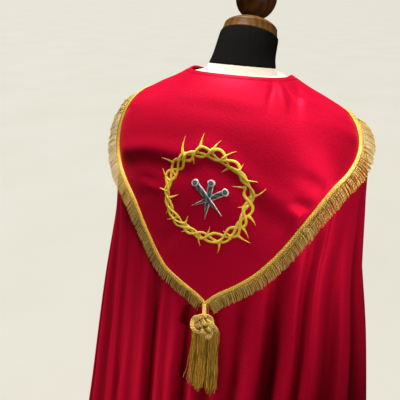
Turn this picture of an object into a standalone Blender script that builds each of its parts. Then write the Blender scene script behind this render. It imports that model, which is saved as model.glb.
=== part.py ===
"""Cope with a fringed hood and a tassel, hung on a limbless dress form.

Metres, +Z up.  The wearer would face -Y, so the hood hangs on the +Y side,
and +X is the wearer's left.  The origin is the middle of the stand's
underside, on the floor.

The cloth hangs on one smooth surface, given by the table RINGS: an angle
round the body (0 at the centre back, positive towards the wearer's left)
and a ring number (0 at the neckline, HEM_RING at the hem) give a point.
Every sewn piece is made from points of that surface, moved out or in.
"""
import math
from collections import namedtuple

import bmesh
import bpy
from mathutils import Matrix, Vector

# ---------------------------------------------------------------- sizes
GAP = 0.0003             # between pieces that meet at a seam or a seat
CLOTH_WALL = 0.0018      # face cloth and its backing
HOOD_LIFT = 0.0006       # hood's inner face above the cope's crests
HOOD_WALL = 0.0016
BRAID_WIDTH = 0.009      # heading of the fringe, sewn over the hood's edge
BRAID_LIFT = 0.0011      # braid's inner face above the hood's outer face
BRAID_WALL = 0.0014
BRAID_OVERHANG = 0.001   # heading that reaches past the hood's cut edge
FRINGE_DROP = 0.0235     # threads below the heading
FRINGE_LOCKS = 138
FRINGE_LEAN = 0.45       # 0 hangs square to the edge, more leans to plumb
LOCK_SHARE = 0.62        # of the pitch, the rest is the space between locks
LOCK_TAPER = 0.7
LOCK_TOP = 0.0021        # faces of a lock's end above the surface
LOCK_UNDER = 0.0009
NECKBAND_RINGS = 0.30    # neckband's depth in ring steps, 10 mm
NECKBAND_IN = 0.0010     # neckband's faces, inside and outside the surface
NECKBAND_OUT = 0.0020
TORSO_CLEAR = 0.0007     # dress form's shoulders below the cloth

TIP_ANGLE = -2.3         # degrees: the hood hangs a little off centre
HOOD_ROWS = 6            # rows of faces from the neckband to the hood's edge
SKIRT_SHARES = (0.12, 0.26, 0.42, 0.60, 0.80, 1.0)   # rows below the hood
FOLD_COLUMNS = 4         # columns of faces across each fold
FOLD_SHARPNESS = 1.3     # over 1: broad crests and narrow valleys
FOLD_FULL_RING = 9.0     # folds reach their whole depth here

POLE_RADIUS = 0.016
BASE_RADIUS = 0.200
BASE_THICK = 0.022

# A row for each level of the hanging cloth, from the neckline to the hem:
# half the width, how far the back and the front stand from the middle, the
# height at the back, the sides and the front, the side-back seam's angle,
# and half the distance between the two front edges.
Ring = namedtuple("Ring", "half_width back front z_back z_side z_front seam front_gap")
RINGS = (
    Ring(0.095, 0.066, 0.080, 1.488, 1.483, 1.440, 60.0, 0.045),
    Ring(0.129, 0.086, 0.098, 1.468, 1.464, 1.414, 60.0, 0.030),
    Ring(0.168, 0.106, 0.114, 1.440, 1.446, 1.380, 60.0, 0.013),
    Ring(0.205, 0.124, 0.128, 1.402, 1.426, 1.340, 60.0, 0.012),
    Ring(0.234, 0.139, 0.140, 1.352, 1.395, 1.292, 60.0, 0.014),
    Ring(0.256, 0.151, 0.150, 1.290, 1.343, 1.235, 58.5, 0.017),
    Ring(0.268, 0.160, 0.160, 1.210, 1.264, 1.165, 54.0, 0.019),
    Ring(0.292, 0.172, 0.174, 1.095, 1.125, 1.065, 47.5, 0.021),
    Ring(0.341, 0.198, 0.202, 0.900, 0.912, 0.890, 43.2, 0.023),
    Ring(0.400, 0.262, 0.254, 0.600, 0.605, 0.600, 38.0, 0.026),
    Ring(0.458, 0.335, 0.306, 0.300, 0.300, 0.300, 34.0, 0.028),
    Ring(0.515, 0.390, 0.345, 0.050, 0.050, 0.050, 31.0, 0.030),
)
HEM_RING = len(RINGS) - 1

# A row for each station of the hood's outline: the angle from its tip, the
# ring that the braid's inner edge reaches on the wearer's left and right, and
# how steeply the stiff border stands off the cloth there (a tangent).
Outline = namedtuple("Outline", "angle left right flare")
HOOD_OUTLINE = (
    Outline(0.0, 7.18, 7.18, 0.00),
    Outline(4.0, 7.09, 7.04, 0.00),
    Outline(12.0, 6.97, 6.84, 0.00),
    Outline(20.0, 6.82, 6.59, 0.05),
    Outline(30.0, 6.40, 6.14, 0.15),
    Outline(40.0, 5.97, 5.60, 0.35),
    Outline(50.0, 5.73, 5.07, 0.60),
    Outline(60.0, 5.49, 4.80, 0.90),
    Outline(68.0, 5.10, 4.52, 1.00),
    Outline(76.0, 4.40, 4.10, 0.75),
    Outline(82.0, 3.66, 3.60, 0.40),
    Outline(88.0, 3.17, 3.15, 0.15),
    Outline(96.0, 2.88, 2.88, 0.08),
    Outline(108.0, 2.62, 2.62, 0.08),
    Outline(122.0, 2.28, 2.28, 0.08),
    Outline(136.0, 1.62, 1.62, 0.08),
    Outline(148.0, 0.85, 0.85, 0.08),
)
HOOD_END = HOOD_OUTLINE[-1].angle
FRONT_ROW_RING = 1.7     # where the hood's last row runs on across the chest
FRONT_ROW_ANGLE = 172.0

# A row for each fold of a panel: where its crest lies, as a share of the
# panel's width, at the neck and at the hem, how far the valley after that
# crest goes in, and the ring where the valley starts.  The last row is the
# crest that closes the panel.
Fold = namedtuple("Fold", "top hem depth start")
BACK_FOLDS = (
    Fold(-1.00, -1.00, 0.018, 5.2),
    Fold(-0.74, -0.82, 0.030, 5.4),
    Fold(-0.42, -0.49, 0.015, 6.0),
    Fold(-0.20, -0.23, 0.013, 6.2),
    Fold(0.04, -0.01, 0.019, 6.2),
    Fold(0.28, 0.19, 0.009, 6.0),
    Fold(0.42, 0.33, 0.017, 5.8),
    Fold(0.62, 0.53, 0.011, 5.2),
    Fold(0.80, 0.80, 0.007, 5.2),
    Fold(1.00, 1.00, 0.0, 0.0),
)
LEFT_FRONT_FOLDS = (
    Fold(0.00, 0.00, 0.010, 5.2),
    Fold(0.12, 0.13, 0.022, 4.6),
    Fold(0.27, 0.26, 0.013, 4.4),
    Fold(0.41, 0.42, 0.027, 3.8),
    Fold(0.57, 0.56, 0.016, 3.6),
    Fold(0.71, 0.72, 0.023, 3.4),
    Fold(0.86, 0.87, 0.012, 3.4),
    Fold(1.00, 1.00, 0.0, 0.0),
)
RIGHT_FRONT_FOLDS = (
    Fold(0.00, 0.00, 0.015, 5.2),
    Fold(0.15, 0.14, 0.018, 4.6),
    Fold(0.28, 0.29, 0.026, 4.2),
    Fold(0.44, 0.43, 0.014, 3.8),
    Fold(0.56, 0.58, 0.024, 3.6),
    Fold(0.73, 0.73, 0.014, 3.4),
    Fold(0.86, 0.86, 0.018, 3.4),
    Fold(1.00, 1.00, 0.0, 0.0),
)

# Dress form: the shoulders follow the cloth, then a row for each level.
Level = namedtuple("Level", "z half_width back front")
TORSO_LEVELS = (
    Level(1.300, 0.168, 0.128, 0.122),
    Level(1.215, 0.150, 0.120, 0.117),
    Level(1.130, 0.130, 0.104, 0.102),
    Level(1.050, 0.124, 0.096, 0.094),
    Level(0.930, 0.156, 0.118, 0.104),
    Level(0.865, 0.164, 0.122, 0.108),
    Level(0.838, 0.156, 0.114, 0.101),
)
TORSO_SHOULDER_ROWS = 4   # of the cloth's own rows
TORSO_SKIP = {"cope_back": 3, "cope_left_front": 4, "cope_right_front": 4}
TORSO_CHEST_COLUMNS = 3   # between the cope's front edges

# The neck leans forward: a row for each level, with its centre, its radius
# and its tilt in degrees.
NeckLevel = namedtuple("NeckLevel", "y z radius tilt")
NECK_LEVELS = (
    NeckLevel(-0.0126, 1.4906, 0.0637, 10.0),
    NeckLevel(-0.0215, 1.5060, 0.0594, 15.0),
    NeckLevel(-0.0345, 1.5245, 0.0573, 20.5),
    NeckLevel(-0.0456, 1.5374, 0.0562, 25.0),
    NeckLevel(-0.0466, 1.5394, 0.0548, 25.6),
)
# Where the neck turns into the shoulders, behind; it fades out in front,
# between these cosines of the angle.
NECK_FOOT = NeckLevel(-0.0090, 1.4790, 0.0690, 7.0)
NECK_FOOT_END = 0.5
NECK_FOOT_FADE = 0.6
NECK_SIDES = 32
CAP_PROFILE = (          # radius and height above the neck, top to bottom
    (0.0000, 0.0327), (0.0100, 0.0327), (0.0225, 0.0305), (0.0362, 0.0262),
    (0.0455, 0.0213), (0.0501, 0.0169), (0.0509, 0.0136), (0.0525, 0.0065),
    (0.0538, 0.0018), (0.0530, 0.0003), (0.0000, 0.0003),
)
BALL_RADIUS = 0.039
BALL_HEIGHT = 0.0720     # ball's centre above the neck

# Tassel, hanging plumb from the hood's tip over the centre back.
CORD_RADIUS = 0.0040
CORD_TOP_Z = 1.0630
CORD_TOP_LIFT = 0.0085   # cord's middle off the cloth, over the braid
TASSEL_ANGLE = -3.4      # degrees, at the knot
TASSEL_FOOT_ANGLE = -3.9 # and at the skirt's foot: the knot hangs a little off the tip
KNOT_Z = 1.0185          # middle of the interlaced knot
KNOT_CORD = 0.0043       # radius of the cord that it is tied from
KNOT_RADIUS = 0.0170     # middle of the knot's ring
KNOT_SWING = 0.0085      # how far the cord swings in and out of that ring
KNOT_WEAVE = 0.0047      # how far it goes over and under
KNOT_SEAT = 0.0004       # the head slopes away, so the knot sits this much lower
KNOT_LEADS = 3
KNOT_BIGHTS = 4
HEAD_WIDTH = 0.0620      # flat head behind the knot, with the skirt's roots
HEAD_THICK = 0.0085
HEAD_TOP_Z = 1.0145
HEAD_BOTTOM_Z = 0.9920
HEAD_TOP_SHARE = 0.74    # width of the head's top against its lower face
HEAD_TOP_THIN = 0.5      # and its thickness
SKIRT_BOTTOM_Z = 0.8620
SKIRT_ACROSS = 14
SKIRT_DEEP = 3
SKIRT_SPREAD = 1.06      # skirt's foot against its head
SKIRT_STAND_OFF = 0.0015 # skirt's foot hangs a little clear of the cloth
SKIRT_RAGGED = 0.006     # strands' lengths differ by this, up and down
STRAND_CELL = 0.62       # width of a strand's cell, and of the gap's
GAP_CELL = 0.38
CORD_CLEAR = 0.0009      # cord's end above the knot
TASSEL_LIFT = 0.0018     # tassel's back off the smooth surface of the cloth

CLASP_RING = 2.35        # a hand below the collar bones
CLASP_RADIUS = 0.0120
CLASP_THICK = 0.0030
CLASP_TAPER = 0.86
CLASP_INSET = 0.0040     # plate's rim from the cloth's front edge
CLASP_LIFT = 0.0         # plate's back off the smooth surface of the cloth
LINK_WIDTH = 0.006
LINK_THICK = 0.002
LINK_OVERLAP = 0.006     # what the link's ends reach past the plates' middles
LINK_LIFT = 0.0012       # link's back off the plates
LINK_EDGE = 0.0006


# ------------------------------------------------------- tables to curves
def smooth_column(places, values, at):
    """Smooth curve through (places, values), read at one place."""
    last = len(places) - 1
    at = min(max(at, places[0]), places[last])
    i = 0
    while i < last - 1 and at > places[i + 1]:
        i += 1

    def slope(k):
        low = max(k - 1, 0)
        high = min(k + 1, last)
        return (values[high] - values[low]) / (places[high] - places[low])

    span = places[i + 1] - places[i]
    t = (at - places[i]) / span
    return ((1 + 2 * t) * (1 - t) ** 2 * values[i] + t * (1 - t) ** 2 * span * slope(i)
            + t * t * (3 - 2 * t) * values[i + 1] - t * t * (1 - t) * span * slope(i + 1))


def smooth_row(table, places, at):
    """Every column of a table at one place, as a row of the same kind."""
    return type(table[0])(*(smooth_column(places, column, at) for column in zip(*table)))


def ring_at(ring):
    return smooth_row(RINGS, range(len(RINGS)), ring)


def outline_at(angle):
    """Hood's outline at an angle round the body, in degrees."""
    places = [row.angle for row in HOOD_OUTLINE]
    return smooth_row(HOOD_OUTLINE, places, abs(angle - TIP_ANGLE))


def mix(low, high, share):
    return low + (high - low) * share


def smoothstep(share):
    share = min(max(share, 0.0), 1.0)
    return share * share * (3 - 2 * share)


# ------------------------------------------------------------ the surface
def surface(angle, ring):
    """Point of the hanging cloth at an angle in degrees and a ring number."""
    row = ring_at(ring)
    across, along = math.sin(math.radians(angle)), math.cos(math.radians(angle))
    if along > 0:
        depth, z_end = row.back, row.z_back
    else:
        depth, z_end = row.front, row.z_front
    z = mix(row.z_side, z_end, along * along)
    return Vector((row.half_width * across, depth * along, z))


def surface_slopes(angle, ring):
    """Change of the point with the angle in degrees, and with the ring."""
    d_angle, d_ring = 0.5, 0.02
    ring = min(max(ring, d_ring), HEM_RING - d_ring)
    by_angle = surface(angle + d_angle, ring) - surface(angle - d_angle, ring)
    by_ring = surface(angle, ring + d_ring) - surface(angle, ring - d_ring)
    return by_angle / (2 * d_angle), by_ring / (2 * d_ring)


def lifted(angle, ring, lift):
    """Point of the surface moved out along its normal."""
    by_angle, by_ring = surface_slopes(angle, ring)
    return surface(angle, ring) + by_angle.cross(by_ring).normalized() * lift


def hood_ring(angle):
    """Ring that the hood's outline reaches at an angle, or the row that runs
    on from it across the chest."""
    row = outline_at(angle)
    reach = row.left if angle > TIP_ANGLE else row.right
    past = (abs(angle) - HOOD_END) / (FRONT_ROW_ANGLE - HOOD_END)
    return mix(reach, FRONT_ROW_RING, smoothstep(past))


def beyond_edge(angle, drop, lean, lift):
    """Point a drop away beyond the hood's outline.  The border is stiff: past
    the outline it runs straight on, standing off by the outline's flare,
    square to the outline or leaning from there to plumb."""
    ring = hood_ring(angle)
    by_angle, by_ring = surface_slopes(angle, ring)
    normal = by_angle.cross(by_ring).normalized()
    step = 0.5
    ahead = surface(angle + step, hood_ring(angle + step))
    behind = surface(angle - step, hood_ring(angle - step))
    along = (ahead - behind).normalized()
    square = along.cross(normal)
    if square.dot(by_ring) < 0:
        square = -square
    tilt = math.atan(outline_at(angle).flare) if drop > 0 else 0.0
    way = square * math.cos(tilt) + normal * math.sin(tilt)
    out = normal * math.cos(tilt) - square * math.sin(tilt)
    plumb = Vector((0, 0, -1))
    plumb -= out * plumb.dot(out)
    way = (way + plumb * lean).normalized()
    return surface(angle, ring) + way * drop + out * lift


# ---------------------------------------------------------- making meshes
def material(name, colour, roughness, metallic=0.0):
    made = bpy.data.materials.new(name)
    made.use_nodes = True
    shader = made.node_tree.nodes["Principled BSDF"]
    shader.inputs["Base Color"].default_value = (*colour, 1.0)
    shader.inputs["Roughness"].default_value = roughness
    shader.inputs["Metallic"].default_value = metallic
    return made


def add_object(name, mesh, finish, collection):
    mesh.materials.append(finish)
    mesh.shade_smooth()
    mesh.set_sharp_from_angle(angle=math.radians(40))
    made = bpy.data.objects.new(name, mesh)
    collection.objects.link(made)
    return made


def mesh_from_bmesh(name, bm):
    bmesh.ops.recalc_face_normals(bm, faces=bm.faces)
    mesh = bpy.data.meshes.new(name)
    bm.to_mesh(mesh)
    bm.free()
    return mesh


def walled_mesh(name, outer, inner, mirrored=0):
    """Closed wall between two grids of points of the same shape.  Walls that
    lie on each other have their cells cut along the same diagonal, so that
    they do so all over; the first columns take the mirrored one."""
    bm = bmesh.new()
    out = [[bm.verts.new(p) for p in row] for row in outer]
    ins = [[bm.verts.new(p) for p in row] for row in inner]
    rows, columns = len(out), len(out[0])
    for r in range(rows - 1):
        for c in range(columns - 1):
            for grid in (out, ins):
                cell = [grid[r][c], grid[r + 1][c], grid[r + 1][c + 1], grid[r][c + 1]]
                if c < mirrored:
                    cell = cell[1:] + cell[:1]
                bm.faces.new((cell[0], cell[1], cell[2]))
                bm.faces.new((cell[0], cell[2], cell[3]))
    rim = [(0, c) for c in range(columns)]
    rim += [(r, columns - 1) for r in range(1, rows)]
    rim += [(rows - 1, c) for c in range(columns - 2, -1, -1)]
    rim += [(r, 0) for r in range(rows - 2, 0, -1)]
    for (r0, c0), (r1, c1) in zip(rim, rim[1:] + rim[:1]):
        bm.faces.new((out[r0][c0], out[r1][c1], ins[r1][c1], ins[r0][c0]))
    return mesh_from_bmesh(name, bm)


def lofted_mesh(name, rings):
    """Closed solid through rings of points, with a flat cap at each end."""
    bm = bmesh.new()
    loops = [[bm.verts.new(p) for p in ring] for ring in rings]
    for lower, upper in zip(loops, loops[1:]):
        for k in range(len(lower)):
            n = (k + 1) % len(lower)
            bm.faces.new((lower[k], lower[n], upper[n], upper[k]))
    bm.faces.new(loops[0])
    bm.faces.new(loops[-1])
    return mesh_from_bmesh(name, bm)


def turned_object(name, profile, sides, finish, collection):
    """Solid turned about Z from (radius, height) points, top to bottom."""
    mesh = bpy.data.meshes.new(name)
    points = [(radius, 0.0, height) for radius, height in profile]
    mesh.from_pydata(points, [(i, i + 1) for i in range(len(points) - 1)], [])
    made = add_object(name, mesh, finish, collection)
    screw = made.modifiers.new("turn", "SCREW")
    screw.steps = sides
    screw.render_steps = sides
    screw.use_merge_vertices = True
    screw.merge_threshold = 0.00005
    return made


def tube_object(name, points, radius, closed, finish, collection):
    """Round cord along points, as a curve with filled caps."""
    curve = bpy.data.curves.new(name, "CURVE")
    curve.dimensions = "3D"
    curve.bevel_depth = radius
    curve.bevel_resolution = 1
    curve.use_fill_caps = not closed
    spline = curve.splines.new("POLY")
    spline.points.add(len(points) - 1)
    for place, point in zip(spline.points, points):
        place.co = (*point, 1.0)
    spline.use_cyclic_u = closed
    spline.use_smooth = True
    curve.materials.append(finish)
    made = bpy.data.objects.new(name, curve)
    collection.objects.link(made)
    return made


# ------------------------------------------------------------- the panels
def fold_share(folds, column, ring):
    """Place across a panel, as a share of its width, of a fold column."""
    k = min(int(column), len(folds) - 2)
    drop = ring / HEM_RING
    before = mix(folds[k].top, folds[k].hem, drop)
    after = mix(folds[k + 1].top, folds[k + 1].hem, drop)
    return mix(before, after, column - k)


def fold_depth(folds, column, ring):
    """How far in from the surface the cloth lies at a fold column."""
    k = min(int(column), len(folds) - 2)
    wave = (1 - math.cos(2 * math.pi * (column - k))) / 2
    reach = smoothstep((ring - folds[k].start) / (FOLD_FULL_RING - folds[k].start))
    return folds[k].depth * reach * wave ** FOLD_SHARPNESS


def seam_allowance(row):
    """Half of the gap at a seam, as an angle in degrees."""
    return math.degrees(GAP / 2 / row.half_width) / math.cos(math.radians(row.seam / 2))


def back_angle(folds, column, ring):
    row = ring_at(ring)
    return fold_share(folds, column, ring) * (row.seam - seam_allowance(row))


def front_angle(folds, column, ring):
    row = ring_at(ring)
    edge = 180.0 - math.degrees(math.asin(row.front_gap / row.half_width))
    return mix(row.seam + seam_allowance(row), edge, fold_share(folds, column, ring))


Panel = namedtuple("Panel", "name folds angle side")
PANELS = (
    Panel("cope_back", BACK_FOLDS, back_angle, 1),
    Panel("cope_left_front", LEFT_FRONT_FOLDS, front_angle, 1),
    Panel("cope_right_front", RIGHT_FRONT_FOLDS, front_angle, -1),
)
PANEL_TOP = NECKBAND_RINGS + 0.010   # leaves the seam's gap below the neckband


def fold_columns(folds):
    count = (len(folds) - 1) * FOLD_COLUMNS
    return [k / FOLD_COLUMNS for k in range(count + 1)]


def column_rings(panel, column):
    """Ring numbers of a panel's rows down one column: evenly to the hood's
    outline, then to the hem."""
    low, high = PANEL_TOP, float(HEM_RING)
    while high - low > 0.0001:
        edge = (low + high) / 2
        if hood_ring(panel.side * panel.angle(panel.folds, column, edge)) > edge:
            low = edge
        else:
            high = edge
    rings = [mix(PANEL_TOP, edge, r / HOOD_ROWS) for r in range(HOOD_ROWS + 1)]
    return rings + [mix(edge, HEM_RING, share) for share in SKIRT_SHARES]


def panel_grid(panel, lift):
    """Rows of points of a panel, moved out from its folded surface."""
    grid = []
    for column in fold_columns(panel.folds):
        line = []
        for ring in column_rings(panel, column):
            angle = panel.side * panel.angle(panel.folds, column, ring)
            line.append(lifted(angle, ring, lift - fold_depth(panel.folds, column, ring)))
        grid.append(line)
    return list(zip(*grid))


def make_panel(panel, finish, collection):
    outer, inner = panel_grid(panel, 0.0), panel_grid(panel, -CLOTH_WALL)
    half = len(outer[0]) // 2 if panel.angle is back_angle else 0
    mesh = walled_mesh(panel.name, outer, inner, half)
    add_object(panel.name, mesh, finish, collection)


# --------------------------------------------------- hood, band and fringe
def hood_columns():
    """Angle and ring rows of the cope's columns that lie under the hood, from
    the wearer's right front to the left front."""
    columns = []
    for panel in (PANELS[2], PANELS[0], PANELS[1]):
        found = []
        for column in fold_columns(panel.folds):
            rings = column_rings(panel, column)[:HOOD_ROWS + 1]
            angles = [panel.side * panel.angle(panel.folds, column, r) for r in rings]
            if abs(angles[-1]) < HOOD_END:
                found.append((angles, rings))
        if panel.side < 0:
            found.reverse()
        if columns:
            found = found[1:]
        columns += found
    return columns


def make_hood(finish, collection):
    """Shield-shaped hood: the cope's own points, moved out, and carried on
    under the braid to the cut edge."""
    reach = BRAID_WIDTH - BRAID_OVERHANG
    sheets = []
    for lift in (HOOD_LIFT + HOOD_WALL, HOOD_LIFT):
        grid = []
        for angles, rings in hood_columns():
            line = [lifted(a, r, lift) for a, r in zip(angles, rings)]
            line.append(beyond_edge(angles[-1], reach, 0.0, lift))
            grid.append(line)
        sheets.append(list(zip(*grid)))
    half = len(sheets[0][0]) // 2
    add_object("hood", walled_mesh("hood", *sheets, half), finish, collection)


def make_neckband(finish, collection):
    """Folded band that binds the neckline from front edge to front edge."""
    row = RINGS[0]
    end = 180.0 - math.degrees(math.asin(row.front_gap / row.half_width))
    steps = 48
    angles = [mix(-end, end, k / steps) for k in range(steps + 1)]
    rings = (0.0, NECKBAND_RINGS)
    outer = [[lifted(a, r, NECKBAND_OUT) for a in angles] for r in rings]
    inner = [[lifted(a, r, -NECKBAND_IN) for a in angles] for r in rings]
    add_object("neckband", walled_mesh("neckband", outer, inner), finish, collection)


def outline_angles(lengths):
    """Angles of places along the hood's outline, by distance from its tip;
    a negative distance lies on the wearer's right."""
    step = 0.5
    table = {}
    for side in (-1, 1):
        travelled, angle = 0.0, TIP_ANGLE
        here = surface(angle, hood_ring(angle))
        table[side] = [(0.0, angle)]
        while abs(angle) < HOOD_END - 1.0:
            angle += side * step
            there = surface(angle, hood_ring(angle))
            travelled += (there - here).length
            here = there
            table[side].append((travelled, angle))
    found = []
    for length in lengths:
        line = table[1 if length >= 0 else -1]
        k = 0
        while k < len(line) - 2 and line[k + 1][0] < abs(length):
            k += 1
        (low, a), (high, b) = line[k], line[k + 1]
        found.append(mix(a, b, (abs(length) - low) / (high - low)))
    return found


def outline_length(side):
    """Length of the hood's outline on one side of its tip."""
    angles = [mix(TIP_ANGLE, side * (HOOD_END - 1.0), k / 240) for k in range(241)]
    points = [surface(a, hood_ring(a)) for a in angles]
    return sum((q - p).length for p, q in zip(points, points[1:]))


def make_fringe(finish, collection):
    """Braid heading over the hood's edge with the fringe's locks grown from
    its lower side, each lock a tapered four-sided strand."""
    left, right = outline_length(1), outline_length(-1)
    pitch = (left + right) / FRINGE_LOCKS
    stations = []
    for k in range(FRINGE_LOCKS):
        start = -right + pitch * (k + (1 - LOCK_SHARE) / 2)
        stations += [start, start + pitch * LOCK_SHARE]
    angles = outline_angles(stations)
    under = HOOD_LIFT + HOOD_WALL + BRAID_LIFT
    whole = BRAID_WIDTH + FRINGE_DROP

    bm = bmesh.new()
    inner, top, low = [], [], []
    for angle in angles:
        inner.append(bm.verts.new(beyond_edge(angle, 0.0, 0.0, under)))
        top.append(bm.verts.new(beyond_edge(angle, BRAID_WIDTH, 0.0, under + BRAID_WALL)))
        low.append(bm.verts.new(beyond_edge(angle, BRAID_WIDTH, 0.0, under)))
    bm.faces.new((inner[0], top[0], low[0]))
    bm.faces.new((inner[-1], low[-1], top[-1]))
    for k in range(len(angles) - 1):
        bm.faces.new((inner[k], inner[k + 1], top[k + 1], top[k]))
        bm.faces.new((inner[k], low[k], low[k + 1], inner[k + 1]))
        if k % 2:
            bm.faces.new((top[k], top[k + 1], low[k + 1], low[k]))
            continue
        middle = (angles[k] + angles[k + 1]) / 2
        ends = []
        for angle, lift in ((angles[k], LOCK_TOP), (angles[k + 1], LOCK_TOP),
                            (angles[k + 1], LOCK_UNDER), (angles[k], LOCK_UNDER)):
            foot = mix(middle, angle, LOCK_TAPER)
            ends.append(bm.verts.new(beyond_edge(foot, whole, FRINGE_LEAN, lift)))
        roots = (top[k], top[k + 1], low[k + 1], low[k])
        for i in range(4):
            n = (i + 1) % 4
            bm.faces.new((roots[i], roots[n], ends[n], ends[i]))
        bm.faces.new(ends)
    add_object("hood_fringe", mesh_from_bmesh("hood_fringe", bm), finish, collection)


# ----------------------------------------------------------------- tassel
def hanging_place(angle, z, lift):
    """Point over the cloth below the hood's tip, at a height."""
    low, high = 6.0, float(HEM_RING)
    while high - low > 0.0005:
        middle = (low + high) / 2
        if surface(angle, middle).z > z:
            low = middle
        else:
            high = middle
    return lifted(angle, low, lift)


def tassel_angle(z):
    """Angle at which the tassel hangs at a height."""
    return mix(TASSEL_FOOT_ANGLE, TASSEL_ANGLE, (z - SKIRT_BOTTOM_Z) / (KNOT_Z - SKIRT_BOTTOM_Z))


def tassel_frame(z, lift):
    """Frame on the cloth: X across, Y up the cloth, Z out from it."""
    here = hanging_place(tassel_angle(z), z, lift)
    above = hanging_place(tassel_angle(z + 0.02), z + 0.02, lift)
    below = hanging_place(tassel_angle(z - 0.02), z - 0.02, lift)
    up = (above - below).normalized()
    across = Vector((-1, 0, 0))
    across = (across - up * across.dot(up)).normalized()
    out = across.cross(up)
    frame = Matrix((across, up, out)).transposed().to_4x4()
    frame.translation = here
    return frame


def make_tassel(finish, collection):
    head_lift = TASSEL_LIFT + HEAD_THICK / 2
    knot_lift = TASSEL_LIFT + HEAD_THICK - KNOT_SEAT + KNOT_WEAVE + KNOT_CORD
    knot_top = KNOT_Z + KNOT_RADIUS + KNOT_SWING + KNOT_CORD

    steps = 6
    low = knot_top + CORD_CLEAR
    line = []
    for k in range(steps + 1):
        share = k / steps
        lift = mix(CORD_TOP_LIFT, knot_lift, smoothstep(share))
        angle = mix(TIP_ANGLE, TASSEL_ANGLE, share)
        line.append(hanging_place(angle, mix(CORD_TOP_Z, low, share), lift))
    tube_object("tassel_cord", line, CORD_RADIUS, False, finish, collection)

    frame = tassel_frame(KNOT_Z, knot_lift)
    turns = 84
    loop = []
    for k in range(turns):
        t = 2 * math.pi * k / turns
        radius = KNOT_RADIUS + KNOT_SWING * math.cos(KNOT_BIGHTS * t)
        round_ = KNOT_LEADS * t + math.pi / 2
        over = KNOT_WEAVE * math.sin(2 * KNOT_BIGHTS * t)
        loop.append(frame @ Vector((radius * math.cos(round_), radius * math.sin(round_), over)))
    tube_object("tassel_knot", loop, KNOT_CORD, True, finish, collection)

    make_skirt(head_lift, finish, collection)


def make_skirt(lift, finish, collection):
    """Flat head with the skirt's strands grown from its lower face: the face
    is a grid whose every other cell, both ways, carries a strand."""
    cells_across = 2 * SKIRT_ACROSS - 1
    cells_deep = 2 * SKIRT_DEEP - 1
    top = tassel_frame(HEAD_TOP_Z, lift)
    bottom = tassel_frame(HEAD_BOTTOM_Z, lift)
    foot = tassel_frame(SKIRT_BOTTOM_Z, lift + SKIRT_STAND_OFF)

    def spot(i, j, spread):
        """Grid corner in the head's own X and Z."""
        x = (cell_edge(i) / cell_edge(cells_across) - 0.5) * HEAD_WIDTH * spread
        z = (cell_edge(j) / cell_edge(cells_deep) - 0.5) * HEAD_THICK
        return x, z

    def cell_edge(i):
        return (i + 1) // 2 * STRAND_CELL + i // 2 * GAP_CELL

    bm = bmesh.new()

    def grid_at(frame):
        return [[bm.verts.new(frame @ Vector((x, 0, z)))
                 for x, z in (spot(i, j, 1.0) for i in range(cells_across + 1))]
                for j in range(cells_deep + 1)]

    low = grid_at(bottom)
    rim = [(0, i) for i in range(cells_across + 1)]
    rim += [(j, cells_across) for j in range(1, cells_deep + 1)]
    rim += [(cells_deep, i) for i in range(cells_across - 1, -1, -1)]
    rim += [(j, 0) for j in range(cells_deep - 1, 0, -1)]
    high = {}
    for j, i in rim:
        x, z = spot(i, j, HEAD_TOP_SHARE)
        high[j, i] = bm.verts.new(top @ Vector((x, 0, z * HEAD_TOP_THIN)))
    for here, there in zip(rim, rim[1:] + rim[:1]):
        bm.faces.new((high[here], high[there], low[there[0]][there[1]], low[here[0]][here[1]]))
    bm.faces.new([high[key] for key in rim])

    for j in range(cells_deep):
        for i in range(cells_across):
            corners = ((j, i), (j, i + 1), (j + 1, i + 1), (j + 1, i))
            roots = [low[a][b] for a, b in corners]
            if i % 2 or j % 2:
                bm.faces.new(roots)
                continue
            ragged = SKIRT_RAGGED * math.sin(5.1 * i + 2.3 * j)
            ends = []
            for a, b in corners:
                x, z = spot(b, a, SKIRT_SPREAD)
                ends.append(bm.verts.new(foot @ Vector((x, ragged, z))))
            for k in range(4):
                n = (k + 1) % 4
                bm.faces.new((roots[k], roots[n], ends[n], ends[k]))
            bm.faces.new(ends)
    add_object("tassel_skirt", mesh_from_bmesh("tassel_skirt", bm), finish, collection)


# ------------------------------------------------------------------ clasp
def clasp_frame(side):
    """Frame on a front edge at the chest: Z out, X to the wearer's left."""
    row = ring_at(CLASP_RING)
    x = row.front_gap + CLASP_RADIUS + CLASP_INSET
    angle = side * (180.0 - math.degrees(math.asin(x / row.half_width)))
    by_angle, by_ring = surface_slopes(angle, CLASP_RING)
    out = by_angle.cross(by_ring).normalized()
    across = Vector((1, 0, 0))
    across = (across - out * across.dot(out)).normalized()
    frame = Matrix((across, out.cross(across), out)).transposed().to_4x4()
    frame.translation = surface(angle, CLASP_RING) + out * (CLASP_THICK / 2 + CLASP_LIFT)
    return frame


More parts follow.
